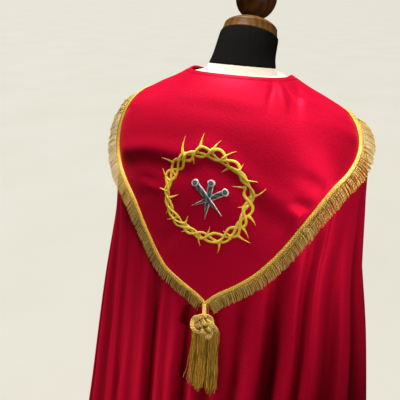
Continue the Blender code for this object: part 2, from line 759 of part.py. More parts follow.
def make_clasp(finish, collection):
    """Two round plates on the front edges, joined by a plain link."""
    places = []
    for side, name in ((1, "clasp_left"), (-1, "clasp_right")):
        bm = bmesh.new()
        bmesh.ops.create_cone(bm, cap_ends=True, segments=20, radius1=CLASP_RADIUS,
                              radius2=CLASP_RADIUS * CLASP_TAPER, depth=CLASP_THICK)
        made = add_object(name, mesh_from_bmesh(name, bm), finish, collection)
        made.matrix_world = clasp_frame(side)
        places.append(clasp_frame(side) @ Vector((0, 0, CLASP_THICK / 2)))
    middle = (places[0] + places[1]) / 2
    length = (places[0] - places[1]).length + LINK_OVERLAP
    down = clasp_frame(1).to_3x3().col[1] + clasp_frame(-1).to_3x3().col[1]
    out = Vector((1, 0, 0)).cross(down).normalized()
    if out.y > 0:
        out = -out
    bm = bmesh.new()
    size = Matrix.Diagonal((length, LINK_WIDTH, LINK_THICK, 1.0))
    bmesh.ops.create_cube(bm, size=1.0, matrix=size)
    mesh = mesh_from_bmesh("clasp_link", bm)
    link = add_object("clasp_link", mesh, finish, collection)
    bevel = link.modifiers.new("round", "BEVEL")
    bevel.width = LINK_EDGE
    bevel.segments = 1
    frame = Matrix((Vector((1, 0, 0)), out.cross(Vector((1, 0, 0))), out)).transposed().to_4x4()
    frame.translation = middle + out * (LINK_THICK / 2 + LINK_LIFT)
    link.matrix_world = frame


# -------------------------------------------------------------- dress form
def tilted_ring(level, angles):
    """Flat ring of the neck through angles from the centre back."""
    tilt = math.radians(level.tilt)
    along = Vector((0, math.cos(tilt), math.sin(tilt)))
    points = []
    for angle in angles:
        turn = math.radians(angle)
        spoke = Vector((math.sin(turn), 0, 0)) + along * math.cos(turn)
        points.append(Vector((0, level.y, level.z)) + spoke * level.radius)
    return points


def neck_axis(level):
    tilt = math.radians(level.tilt)
    return Vector((0, -math.sin(tilt), math.cos(tilt)))


def torso_columns():
    """Angles and rings, row by row, of the cope's columns that the torso's
    shoulders repeat, all the way round from the wearer's right seam."""
    found = {}
    for panel in PANELS:
        columns = fold_columns(panel.folds)[::TORSO_SKIP[panel.name]]
        if panel.angle is front_angle:
            columns = columns[1:]
        found[panel.name] = []
        for column in columns:
            rings = column_rings(panel, column)[:TORSO_SHOULDER_ROWS]
            angles = [panel.side * panel.angle(panel.folds, column, r) for r in rings]
            found[panel.name].append((angles, rings))
    left_edge, rings = found["cope_left_front"][-1]
    chest = []
    for k in range(1, TORSO_CHEST_COLUMNS + 1):
        share = k / (TORSO_CHEST_COLUMNS + 1)
        chest.append(([mix(a, 360 - a, share) for a in left_edge], rings))
    right = found["cope_right_front"][::-1]
    return found["cope_back"] + found["cope_left_front"] + chest + right


def make_torso(finish, collection):
    """Torso whose shoulders lie just under the cloth and carry it."""
    columns = torso_columns()
    inset = -(CLOTH_WALL + TORSO_CLEAR)
    top_angles = [angles[0] for angles, _ in columns]
    rings = [tilted_ring(NECK_LEVELS[0], top_angles)]
    foot = []
    for angle, point in zip(top_angles, tilted_ring(NECK_FOOT, top_angles)):
        behind = smoothstep((math.cos(math.radians(angle)) + NECK_FOOT_END) / NECK_FOOT_FADE)
        foot.append(lifted(angle, 0.0, inset).lerp(point, behind))
    rings.append(foot)
    for r in range(TORSO_SHOULDER_ROWS):
        rings.append([lifted(angles[r], places[r], inset) for angles, places in columns])
    for level in TORSO_LEVELS:
        ring = []
        for angles, _ in columns:
            turn = math.radians(angles[-1])
            depth = level.back if math.cos(turn) > 0 else level.front
            ring.append(Vector((level.half_width * math.sin(turn), depth * math.cos(turn), level.z)))
        rings.append(ring)
    add_object("form_torso", lofted_mesh("form_torso", rings), finish, collection)


def make_neck(finish, collection):
    angles = [360.0 * k / NECK_SIDES for k in range(NECK_SIDES)]
    rings = [tilted_ring(level, angles) for level in NECK_LEVELS]
    rings[0] = [p + neck_axis(NECK_LEVELS[0]) * GAP for p in rings[0]]
    add_object("form_neck", lofted_mesh("form_neck", rings), finish, collection)


def make_finial(finish, collection):
    """Turned wooden cap and ball on the neck, on the neck's own axis."""
    top = NECK_LEVELS[-1]
    centre = Vector((0, top.y, top.z))
    tilt = Matrix.Rotation(math.radians(top.tilt), 4, "X")
    cap = turned_object("form_cap", CAP_PROFILE, 28, finish, collection)
    cap.matrix_world = Matrix.Translation(centre) @ tilt
    bm = bmesh.new()
    bmesh.ops.create_uvsphere(bm, u_segments=24, v_segments=12, radius=BALL_RADIUS)
    ball = add_object("form_ball", mesh_from_bmesh("form_ball", bm), finish, collection)
    ball.matrix_world = Matrix.Translation(centre + neck_axis(top) * BALL_HEIGHT) @ tilt


def make_stand(finish, collection):
    """Weighted round base and the pole that carries the torso."""
    low, high = BASE_THICK + GAP, TORSO_LEVELS[-1].z - GAP
    bm = bmesh.new()
    bmesh.ops.create_cone(bm, cap_ends=True, segments=24, radius1=POLE_RADIUS,
                          radius2=POLE_RADIUS, depth=high - low)
    pole = add_object("stand_pole", mesh_from_bmesh("stand_pole", bm), finish, collection)
    pole.location.z = (low + high) / 2
    round_over = 0.008
    profile = ((0.0, BASE_THICK), (BASE_RADIUS - round_over, BASE_THICK),
               (BASE_RADIUS - round_over * 0.3, BASE_THICK - round_over * 0.3),
               (BASE_RADIUS, BASE_THICK - round_over), (BASE_RADIUS, 0.0), (0.0, 0.0))
    turned_object("stand_base", profile, 48, finish, collection)


# ------------------------------------------------------------------- build
def main():
    for old in list(bpy.data.objects):
        bpy.data.objects.remove(old, do_unlink=True)
    cope = bpy.data.collections.new("cope_on_dress_form")
    bpy.context.scene.collection.children.link(cope)

    satin = material("red_satin", (0.58, 0.01, 0.03), 0.45)
    gold = material("gold_thread", (0.62, 0.42, 0.08), 0.40, 0.3)
    brass = material("brass", (0.75, 0.55, 0.22), 0.30, 1.0)
    ecru = material("ecru_cotton", (0.86, 0.82, 0.70), 0.80)
    black = material("black_jersey", (0.02, 0.02, 0.02), 0.85)
    wood = material("turned_wood", (0.24, 0.12, 0.05), 0.40)

    for panel in PANELS:
        make_panel(panel, satin, cope)
    make_hood(satin, cope)
    make_neckband(satin, cope)
    make_fringe(gold, cope)
    make_tassel(gold, cope)
    make_clasp(brass, cope)
    make_torso(ecru, cope)
    make_neck(black, cope)
    make_finial(wood, cope)
    make_stand(wood, cope)


main()
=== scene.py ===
"""Looks of a red satin cope with a gold-fringed hood and a tassel, hung on a
limbless dress form with a turned wooden cap and ball.

Metres, +Z up.  The wearer would face -Y, so the hood hangs on the +Y side,
and +X is the wearer's left.  The cloth hangs on one smooth surface: an angle
round the body (0 at the centre back, positive towards the wearer's left) and
a ring number (0 at the neckline, HEM_RING at the hem) give a point.  The
tables are the part's own, read here at many more places; only two valleys of
BACK_FOLDS are softer.
"""
import math
from collections import namedtuple

import bpy
import numpy as np
from mathutils import Matrix, Vector


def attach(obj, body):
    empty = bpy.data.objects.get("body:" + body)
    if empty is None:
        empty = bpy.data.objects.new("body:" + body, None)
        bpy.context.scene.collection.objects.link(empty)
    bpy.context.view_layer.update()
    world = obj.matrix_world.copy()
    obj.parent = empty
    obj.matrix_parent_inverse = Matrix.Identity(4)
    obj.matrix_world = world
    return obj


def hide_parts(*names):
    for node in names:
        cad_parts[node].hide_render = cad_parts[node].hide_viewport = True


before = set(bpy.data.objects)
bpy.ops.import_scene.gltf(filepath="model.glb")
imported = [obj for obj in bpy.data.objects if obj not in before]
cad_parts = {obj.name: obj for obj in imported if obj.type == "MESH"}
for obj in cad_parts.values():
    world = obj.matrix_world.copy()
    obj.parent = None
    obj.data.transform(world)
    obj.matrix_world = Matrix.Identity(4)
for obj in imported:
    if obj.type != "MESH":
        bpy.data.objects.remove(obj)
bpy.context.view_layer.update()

BODY = "root"

# --------------------------------------------------- the part's own sizes
GAP = 0.0003
CLOTH_WALL = 0.0018
HOOD_LIFT = 0.0006
HOOD_WALL = 0.0016
BRAID_WIDTH = 0.009
BRAID_LIFT = 0.0011
BRAID_WALL = 0.0014
BRAID_OVERHANG = 0.001
FRINGE_DROP = 0.0235
FRINGE_LEAN = 0.45
LOCK_TOP = 0.0021
LOCK_UNDER = 0.0009
HOOD_FACE = HOOD_LIFT + HOOD_WALL
BRAID_FOOT = HOOD_FACE + BRAID_LIFT
NECKBAND_RINGS = 0.30     # depth of the neckband, in rings
NECKBAND_IN = 0.0010
NECKBAND_OUT = 0.0020
PANEL_TOP = NECKBAND_RINGS + 0.010
TIP_ANGLE = -2.3
FOLD_SHARPNESS = 1.3
FOLD_FULL_RING = 9.0
POLE_RADIUS = 0.016
BASE_RADIUS = 0.200
BASE_THICK = 0.022

# half width, back, front, height at the back, sides and front, seam angle,
# half the gap between the front edges
RINGS = np.array((
    (0.095, 0.066, 0.080, 1.488, 1.483, 1.440, 60.0, 0.045),
    (0.129, 0.086, 0.098, 1.468, 1.464, 1.414, 60.0, 0.030),
    (0.168, 0.106, 0.114, 1.440, 1.446, 1.380, 60.0, 0.013),
    (0.205, 0.124, 0.128, 1.402, 1.426, 1.340, 60.0, 0.012),
    (0.234, 0.139, 0.140, 1.352, 1.395, 1.292, 60.0, 0.014),
    (0.256, 0.151, 0.150, 1.290, 1.343, 1.235, 58.5, 0.017),
    (0.268, 0.160, 0.160, 1.210, 1.264, 1.165, 54.0, 0.019),
    (0.292, 0.172, 0.174, 1.095, 1.125, 1.065, 47.5, 0.021),
    (0.341, 0.198, 0.202, 0.900, 0.912, 0.890, 43.2, 0.023),
    (0.400, 0.262, 0.254, 0.600, 0.605, 0.600, 38.0, 0.026),
    (0.458, 0.335, 0.306, 0.300, 0.300, 0.300, 34.0, 0.028),
    (0.515, 0.390, 0.345, 0.050, 0.050, 0.050, 31.0, 0.030),
))
HALF_WIDTH, BACK, FRONT, Z_BACK, Z_SIDE, Z_FRONT, SEAM, FRONT_GAP = range(8)
HEM_RING = len(RINGS) - 1

# angle from the hood's tip, ring on the left and on the right, flare
OUTLINE = np.array((
    (0.0, 7.18, 7.18, 0.00), (4.0, 7.09, 7.04, 0.00), (12.0, 6.97, 6.84, 0.00),
    (20.0, 6.82, 6.59, 0.05), (30.0, 6.40, 6.14, 0.15), (40.0, 5.97, 5.60, 0.35),
    (50.0, 5.73, 5.07, 0.60), (60.0, 5.49, 4.80, 0.90), (68.0, 5.10, 4.52, 1.00),
    (76.0, 4.40, 4.10, 0.75), (82.0, 3.66, 3.60, 0.40), (88.0, 3.17, 3.15, 0.15),
    (96.0, 2.88, 2.88, 0.08), (108.0, 2.62, 2.62, 0.08), (122.0, 2.28, 2.28, 0.08),
    (136.0, 1.62, 1.62, 0.08), (148.0, 0.85, 0.85, 0.08),
))
HOOD_END = OUTLINE[-1][0]
HOOD_MARGIN = 1.0         # degrees left free at each front end

# crest's place across the panel at the neck and the hem, depth of the valley
# after it, and the ring where that valley starts; two shallow valleys of the
# back are softer here than in the part, as the photo's broad folds are
BACK_FOLDS = np.array((
    (-1.00, -1.00, 0.018, 5.2), (-0.74, -0.82, 0.030, 5.4), (-0.42, -0.49, 0.015, 6.0),
    (-0.20, -0.23, 0.013, 6.2), (0.04, -0.01, 0.019, 6.2), (0.28, 0.19, 0.0030, 6.0),
    (0.42, 0.33, 0.017, 5.8), (0.62, 0.53, 0.0045, 5.2), (0.80, 0.80, 0.007, 5.2),
    (1.00, 1.00, 0.0, 0.0),
))
LEFT_FRONT_FOLDS = np.array((
    (0.00, 0.00, 0.010, 5.2), (0.12, 0.13, 0.022, 4.6), (0.27, 0.26, 0.013, 4.4),
    (0.41, 0.42, 0.027, 3.8), (0.57, 0.56, 0.016, 3.6), (0.71, 0.72, 0.023, 3.4),
    (0.86, 0.87, 0.012, 3.4), (1.00, 1.00, 0.0, 0.0),
))
RIGHT_FRONT_FOLDS = np.array((
    (0.00, 0.00, 0.015, 5.2), (0.15, 0.14, 0.018, 4.6), (0.28, 0.29, 0.026, 4.2),
    (0.44, 0.43, 0.014, 3.8), (0.56, 0.58, 0.024, 3.6), (0.73, 0.73, 0.014, 3.4),
    (0.86, 0.86, 0.018, 3.4), (1.00, 1.00, 0.0, 0.0),
))

# the neck's levels: centre y and z, radius, tilt in degrees
NECK_LEVELS = np.array((
    (-0.0126, 1.4906, 0.0637, 10.0),
    (-0.0215, 1.5060, 0.0594, 15.0),
    (-0.0345, 1.5245, 0.0573, 20.5),
    (-0.0456, 1.5374, 0.0562, 25.0),
    (-0.0466, 1.5394, 0.0548, 25.6),
))
# where it turns into the shoulders behind, fading out in front
NECK_FOOT = np.array((-0.0090, 1.4790, 0.0690, 7.0))
NECK_FOOT_END = 0.5
NECK_FOOT_FADE = 0.6
CAP_PROFILE = (
    (0.0000, 0.0327), (0.0100, 0.0327), (0.0225, 0.0305), (0.0362, 0.0262),
    (0.0455, 0.0213), (0.0501, 0.0169), (0.0509, 0.0136), (0.0525, 0.0065),
    (0.0538, 0.0018), (0.0530, 0.0003), (0.0000, 0.0003),
)
BALL_RADIUS = 0.039
BALL_HEIGHT = 0.0720
BALL_STEPS = 40
# torso below the cloth's shoulders: height, half width, back, front
TORSO_LEVELS = (
    (1.300, 0.168, 0.128, 0.122), (1.215, 0.150, 0.120, 0.117), (1.130, 0.130, 0.104, 0.102),
    (1.050, 0.124, 0.096, 0.094), (0.930, 0.156, 0.118, 0.104), (0.865, 0.164, 0.122, 0.108),
    (0.838, 0.156, 0.114, 0.101),
)

# tassel
CORD_TOP_Z = 1.0630
CORD_TOP_LIFT = 0.0085
TASSEL_ANGLE = -3.4
TASSEL_FOOT_ANGLE = -3.9
KNOT_Z = 1.0185
KNOT_CORD = 0.0043
KNOT_RADIUS = 0.0170
KNOT_SWING = 0.0085
KNOT_WEAVE = 0.0047
KNOT_SEAT = 0.0004
KNOT_LEADS = 3
KNOT_BIGHTS = 4
HEAD_WIDTH = 0.0620
HEAD_THICK = 0.0085
HEAD_TOP_Z = 1.0145
HEAD_BOTTOM_Z = 0.9920
SKIRT_BOTTOM_Z = 0.8620
TASSEL_LIFT = 0.0018
CLASP_RING = 2.35
CLASP_RADIUS = 0.0120
CLASP_THICK = 0.0030
HEAD_LIFT = TASSEL_LIFT + HEAD_THICK / 2
KNOT_LIFT = TASSEL_LIFT + HEAD_THICK - KNOT_SEAT + KNOT_WEAVE + KNOT_CORD

# ------------------------------------------------------------ camera, floor
CAMERA_PLACE = Vector((-0.2368, 0.7719, 1.6369))
CAMERA_TURN = math.radians(22.044)      # away from straight ahead, to the left
CAMERA_DOWN = math.radians(28.234)
CAMERA_ROLL = math.radians(1.18)
CAMERA_LENS = 37.29
CAMERA_SENSOR = 36.0


def linked(name, data):
    """An object made from its data, in the scene."""
    made = bpy.data.objects.new(name, data)
    bpy.context.scene.collection.objects.link(made)
    return made


def make_camera():
    """The photo's camera, fitted to its outlines."""
    ahead = Vector((math.sin(CAMERA_TURN), -math.cos(CAMERA_TURN), 0))
    right = Vector((-math.cos(CAMERA_TURN), -math.sin(CAMERA_TURN), 0))
    up = Vector((0, 0, 1))
    forward = ahead * math.cos(CAMERA_DOWN) - up * math.sin(CAMERA_DOWN)
    top = ahead * math.sin(CAMERA_DOWN) + up * math.cos(CAMERA_DOWN)
    across = right * math.cos(CAMERA_ROLL) + top * math.sin(CAMERA_ROLL)
    top = top * math.cos(CAMERA_ROLL) - right * math.sin(CAMERA_ROLL)
    data = bpy.data.cameras.new("camera")
    data.lens = CAMERA_LENS
    data.sensor_width = CAMERA_SENSOR
    data.clip_start = 0.02
    camera = linked("camera", data)
    frame_of_camera = Matrix((across, top, -forward)).transposed().to_4x4()
    frame_of_camera.translation = CAMERA_PLACE
    camera.matrix_world = frame_of_camera
    bpy.context.scene.camera = camera


# ------------------------------------------------------------ small helpers
def mix(low, high, share):
    return low + (high - low) * share


def smoothstep(share):
    share = np.clip(share, 0.0, 1.0)
    return share * share * (3 - 2 * share)


def unit(vectors):
    return vectors / np.maximum(np.linalg.norm(vectors, axis=-1, keepdims=True), 1e-12)


def dot(a, b):
    return (a * b).sum(-1)


def lengths_along(path):
    """Length travelled at each point of a path."""
    return np.concatenate([[0.0], np.cumsum(np.linalg.norm(np.diff(path, axis=0), axis=1))])


def read_along(rows, travelled, at):
    """Rows of three numbers, read at lengths along their path."""
    return np.stack([np.interp(at, travelled, rows[:, k]) for k in range(3)], -1)


def directions(paths, closed=False, axis=0):
    """Unit directions along open or closed paths."""
    if closed:
        return unit(np.roll(paths, -1, axis) - np.roll(paths, 1, axis))
    return unit(np.gradient(paths, axis=axis))


def square_to(along, reference):
    """Two directions square to each other and to the way along."""
    side = unit(np.cross(along, np.broadcast_to(reference, along.shape)))
    return side, np.cross(side, along)


def smooth_table(table, places, at):
    """Smooth curves through a table's rows, read at many places at once."""
    places = np.asarray(places, float)
    last = len(places) - 1
    at = np.clip(np.asarray(at, float), places[0], places[last])
    i = np.clip(np.searchsorted(places, at, side="left") - 1, 0, last - 1)
    rows = np.arange(last + 1)
    before, after = np.maximum(rows - 1, 0), np.minimum(rows + 1, last)
    slopes = (table[after] - table[before]) / (places[after] - places[before])[:, None]
    span = (places[i + 1] - places[i])[..., None]
    t = (at - places[i])[..., None] / span
    return ((1 + 2 * t) * (1 - t) ** 2 * table[i] + t * (1 - t) ** 2 * span * slopes[i]
            + t * t * (3 - 2 * t) * table[i + 1] - t * t * (1 - t) * span * slopes[i + 1])


def smooth_rows(table, at):
    """The same through rows numbered from 0."""
    return smooth_table(table, np.arange(len(table)), at)


def ring_at(ring):
    return smooth_rows(RINGS, ring)


def surface(angle, ring):
    """Points of the hanging cloth at angles in degrees and ring numbers."""
    angle, ring = np.broadcast_arrays(angle, ring)
    row = ring_at(ring)
    across, along = np.sin(np.radians(angle)), np.cos(np.radians(angle))
    behind = along > 0
    depth = np.where(behind, row[..., BACK], row[..., FRONT])
    z_end = np.where(behind, row[..., Z_BACK], row[..., Z_FRONT])
    z = mix(row[..., Z_SIDE], z_end, along * along)
    return np.stack([row[..., HALF_WIDTH] * across, depth * along, z], -1)


def surface_slopes(angle, ring):
    d_angle, d_ring = 0.5, 0.02
    ring = np.clip(ring, d_ring, HEM_RING - d_ring)
    by_angle = surface(angle + d_angle, ring) - surface(angle - d_angle, ring)
    by_ring = surface(angle, ring + d_ring) - surface(angle, ring - d_ring)
    return by_angle / (2 * d_angle), by_ring / (2 * d_ring)


def surface_normal(angle, ring):
    by_angle, by_ring = surface_slopes(angle, ring)
    return unit(np.cross(by_angle, by_ring))


def lifted(angle, ring, lift):
    angle, ring = np.broadcast_arrays(angle, ring)
    return surface(angle, ring) + surface_normal(angle, ring) * np.asarray(lift)[..., None]


def outline_at(angle):
    """Ring and flare of the hood's outline at angles round the body."""
    row = smooth_table(OUTLINE, OUTLINE[:, 0], np.abs(angle - TIP_ANGLE))
    return np.where(angle > TIP_ANGLE, row[..., 1], row[..., 2]), row[..., 3]


def hood_ring(angle):
    return outline_at(angle)[0]


def edge_chord(angle):
    """One degree's way along the hood's outline."""
    ahead, behind = (surface(at, hood_ring(at)) for at in (angle + 0.5, angle - 0.5))
    return ahead - behind


def beyond_edge(angle, drop, lean, lift):
    """Points a drop away beyond the hood's outline, as the part has them."""
    angle, drop, lean, lift = np.broadcast_arrays(angle, drop, lean, lift)
    ring, flare = outline_at(angle)
    by_angle, by_ring = surface_slopes(angle, ring)
    normal = unit(np.cross(by_angle, by_ring))
    square = np.cross(unit(edge_chord(angle)), normal)
    square = np.where(dot(square, by_ring)[..., None] < 0, -square, square)
    tilt = np.where(drop > 0, np.arctan(flare), 0.0)[..., None]
    way = square * np.cos(tilt) + normal * np.sin(tilt)
    out = normal * np.cos(tilt) - square * np.sin(tilt)
    plumb = np.array((0.0, 0.0, -1.0))
    plumb = plumb - out * dot(out, plumb)[..., None]
    way = unit(way + plumb * lean[..., None])
    return surface(angle, ring) + way * drop[..., None] + out * lift[..., None]


def outline_places(count, stagger=0.0):
    """Angles evenly spaced along the hood's outline, from right to left, and
    the outline's length."""
    fine = np.linspace(-HOOD_END + HOOD_MARGIN, HOOD_END - HOOD_MARGIN, 2000)
    points = surface(fine, hood_ring(fine))
    travelled = lengths_along(points)
    at = (np.arange(count) + 0.5 + stagger) / count * travelled[-1]
    return np.interp(at, travelled, fine), travelled[-1]


# ------------------------------------------------------------ making meshes
def mesh_object(name, points, quads, triangles=(), uvs=None, tones=None, sharp=45.0):
    """Mesh from arrays, smooth but for edges sharper than an angle."""
    points = np.asarray(points, np.float32)
    quads = np.asarray(quads, np.int32)
    triangles = np.asarray(triangles, np.int32).reshape(-1, 3)
    corners = np.concatenate([quads.ravel(), triangles.ravel()])
    sizes = np.concatenate([np.full(len(quads), 4), np.full(len(triangles), 3)])
    starts = np.cumsum(sizes) - sizes
    mesh = bpy.data.meshes.new(name)
    mesh.vertices.add(len(points))
    mesh.vertices.foreach_set("co", points.ravel())
    mesh.loops.add(len(corners))
    mesh.loops.foreach_set("vertex_index", corners)
    mesh.polygons.add(len(sizes))
    mesh.polygons.foreach_set("loop_start", starts.astype(np.int32))
    mesh.update(calc_edges=True)
    if uvs is not None:
        layer = mesh.uv_layers.new(name="cloth")
        uvs = np.asarray(uvs, np.float32)[corners]
        layer.uv.foreach_set("vector", uvs.ravel())
    if tones is not None:
        shade = mesh.attributes.new("tone", "FLOAT", "POINT")
        shade.data.foreach_set("value", np.asarray(tones, np.float32).ravel())
    mesh.shade_smooth()
    mesh.set_sharp_from_angle(angle=math.radians(sharp))
    return linked(name, mesh)


def grid_quads(rows, columns, start=0, closed=False):
    """Quads of a grid of rows by columns; closed joins the last column on."""
    index = start + np.arange(rows * columns).reshape(rows, columns)
    if closed:
        index = np.concatenate([index, index[:, :1]], 1)
    corners = index[:-1, :-1], index[:-1, 1:], index[1:, 1:], index[1:, :-1]
    return np.stack(corners, -1).reshape(-1, 4)


def closing_quads(rows, columns):
    """Quads that join the last row of a grid to its first."""
    first = np.arange(columns)
    last = (rows - 1) * columns + first
    return np.stack([last, np.roll(last, -1), np.roll(first, -1), first], -1)


def end_fans(rows, columns):
    """Triangles that close the first and the last row of a tube."""
    fan = np.array([(0, k, k + 1) for k in range(1, columns - 1)])
    return np.concatenate([fan[:, ::-1], fan + (rows - 1) * columns])


NO_TRIANGLES = np.zeros((0, 3), int)


def facing_out(points, quads, triangles):
    """Turns all faces over if the closed mesh is inside out."""
    middle = points.mean(0)
    cut = np.concatenate([quads[:, [0, 1, 2]], quads[:, [0, 2, 3]], triangles])
    a, b, c = (points[cut[:, k]] - middle for k in range(3))
    if dot(a, np.cross(b, c)).sum() < 0:
        return quads[:, ::-1], triangles[:, ::-1]
    return quads, triangles


def cloth_uvs(grid):
    """Distances along and across a grid of points, in metres."""
    down = np.linalg.norm(np.diff(grid, axis=0), axis=2)
    across = np.linalg.norm(np.diff(grid, axis=1), axis=2)
    v = np.concatenate([np.zeros((1, grid.shape[1])), np.cumsum(down, 0)])
    u = np.concatenate([np.zeros((grid.shape[0], 1)), np.cumsum(across, 1)], 1)
    u = u - u[:, grid.shape[1] // 2][:, None]
    return np.stack([u, -v], -1)


def walled(name, outer, inner, sharp=45.0, tones=None):
    """Closed wall of cloth between two grids of points."""
    rows, columns = outer.shape[:2]
    count = rows * columns
    quads = [grid_quads(rows, columns), grid_quads(rows, columns, count)[:, ::-1]]
    index = np.arange(count).reshape(rows, columns)
    rim = np.concatenate([index[0], index[1:, -1], index[-1, -2::-1], index[-2:0:-1, 0]])
    after = np.roll(rim, -1)
    quads.append(np.stack([after, rim, rim + count, after + count], -1))
    quads = np.concatenate(quads)
    points = np.concatenate([outer.reshape(-1, 3), inner.reshape(-1, 3)])
    quads, _ = facing_out(points, quads, NO_TRIANGLES)
    uvs = cloth_uvs(outer).reshape(-1, 2)
    both = None if tones is None else np.concatenate([tones.ravel(), tones.ravel()])
    return mesh_object(name, points, quads, (), np.concatenate([uvs, uvs]), both, sharp)


def tube_mesh(paths, radii, sides, reference, closed=False, twist=0.0):
    """Points, quads, triangles and uvs of many tubes at once.  paths is an
    array (tubes, places, 3), reference a direction for each that is never
    along it, and twist a turn in radians for each metre."""
    tubes, places = paths.shape[:2]
    radii = np.broadcast_to(np.asarray(radii, float), (tubes, places))
    step = np.linalg.norm(np.diff(paths, axis=1), axis=2)
    travelled = np.concatenate([np.zeros((tubes, 1)), np.cumsum(step, 1)], 1)
    side, up = square_to(directions(paths, closed, 1), reference)
    turn = 2 * math.pi * np.arange(sides) / sides
    turn = turn[None, None, :] + (travelled * twist)[..., None]
    ring = np.cos(turn)[..., None] * side[:, :, None] + np.sin(turn)[..., None] * up[:, :, None]
    points = paths[:, :, None] + ring * radii[..., None, None]
    grid = grid_quads(places, sides, closed=True)
    caps = NO_TRIANGLES
    if closed:
        grid = np.concatenate([grid, closing_quads(places, sides)])
    else:
        caps = end_fans(places, sides)[:, ::-1]
    offsets = (np.arange(tubes) * places * sides)[:, None, None]
    quads = (grid[None] + offsets).reshape(-1, 4)
    triangles = (caps[None] + offsets).reshape(-1, 3)
    u = np.broadcast_to(np.arange(sides) / sides, points.shape[:3])
    v = np.broadcast_to(travelled[..., None], points.shape[:3])
    return points.reshape(-1, 3), quads, triangles, np.stack([u, v], -1).reshape(-1, 2)


def tube_object(name, paths, radii, sides, reference, tones=None, **more):
    """One object of many tubes; tones gives one shade for each tube."""
    points, quads, triangles, uvs = tube_mesh(paths, radii, sides, reference, **more)
    if tones is not None:
        tones = np.repeat(tones, len(points) // len(paths))
    quads, triangles = facing_out_tubes(points, quads, triangles)
    return mesh_object(name, points, quads, triangles, uvs, tones, 60.0)


def facing_out_tubes(points, quads, triangles):
    """The tubes all turn the same way, so one test serves them all."""
    a, b, c = (points[quads[:, k]] for k in range(3))
    volume = dot(points[quads].mean(1), np.cross(b - a, c - a)).sum()
    d, e, f = (points[triangles[:, k]] for k in range(3))
    volume += dot(d, np.cross(e - d, f - d)).sum() / 2
    if volume < 0:
        return quads[:, ::-1], triangles[:, ::-1]
    return quads, triangles


def plies(path, count, pitch, away, reference, phase=0.0, closed=False):
    """Paths of a cord's plies, twisted round the cord's own path at a
    distance away."""
    travelled = lengths_along(path)
    if closed:
        whole = travelled[-1] + np.linalg.norm(path[0] - path[-1])
        pitch = whole / max(1, round(whole / pitch))
    side, up = square_to(directions(path, closed), reference)
    found = []
    for k in range(count):
        turn = (2 * math.pi * (travelled / pitch + k / count) + phase)[:, None]
        found.append(path + away * (np.cos(turn) * side + np.sin(turn) * up))
    return np.array(found)


def resampled(path, count):
    """A closed path at evenly spaced places."""
    path = np.concatenate([path, path[:1]])
    travelled = lengths_along(path)
    return read_along(path, travelled, np.linspace(0, travelled[-1], count + 1)[:-1])


def lofted(name, rings, ends, uvs=None, sharp=45.0):
    """Closed skin over rings of points, with a fan to a middle at each end."""
    rows, sides = rings.shape[:2]
    points = np.concatenate([rings.reshape(-1, 3), ends])
    top, bottom = len(points) - 2, len(points) - 1
    first = np.arange(sides)
    last = (rows - 1) * sides + first
    fans = np.concatenate([
        np.stack([np.full(sides, top), np.roll(first, -1), first], -1),
        np.stack([np.full(sides, bottom), last, np.roll(last, -1)], -1)])
    quads, fans = facing_out(points, grid_quads(rows, sides, closed=True), fans)
    if uvs is not None:
        uvs = np.concatenate([uvs.reshape(-1, 2), np.zeros((2, 2))])
    return mesh_object(name, points, quads, fans, uvs, None, sharp)


def turned(name, profile, sides, place=Matrix.Identity(4), sharp=45.0):
    """Solid turned about Z from (radius, height) points, top to bottom."""
    profile = np.asarray(profile, float)
    inner = profile[1:-1, None]
    turn = 2 * math.pi * np.arange(sides) / sides
    ring = np.stack([np.cos(turn), np.sin(turn)], -1)
    heights = np.broadcast_to(inner[..., 1:], (len(inner), sides, 1))
    rings = np.concatenate([inner[..., :1] * ring, heights], -1)
    made = lofted(name, rings, [(0, 0, profile[0, 1]), (0, 0, profile[-1, 1])], None, sharp)
    made.data.transform(place)
    return made


def profile_curve(points, per_span):
    """Smooth profile through (radius, height) points."""
    table = np.array(points, float)
    last = len(table) - 1
    return smooth_rows(table, np.linspace(0, last, last * per_span + 1))


def finish_piece(piece, material, slot, *nodes):
    """Gives a piece its material, its body and what it replaces."""
    piece.data.materials.append(material)
    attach(piece, BODY)
    if nodes:
        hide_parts(*nodes)
    return piece


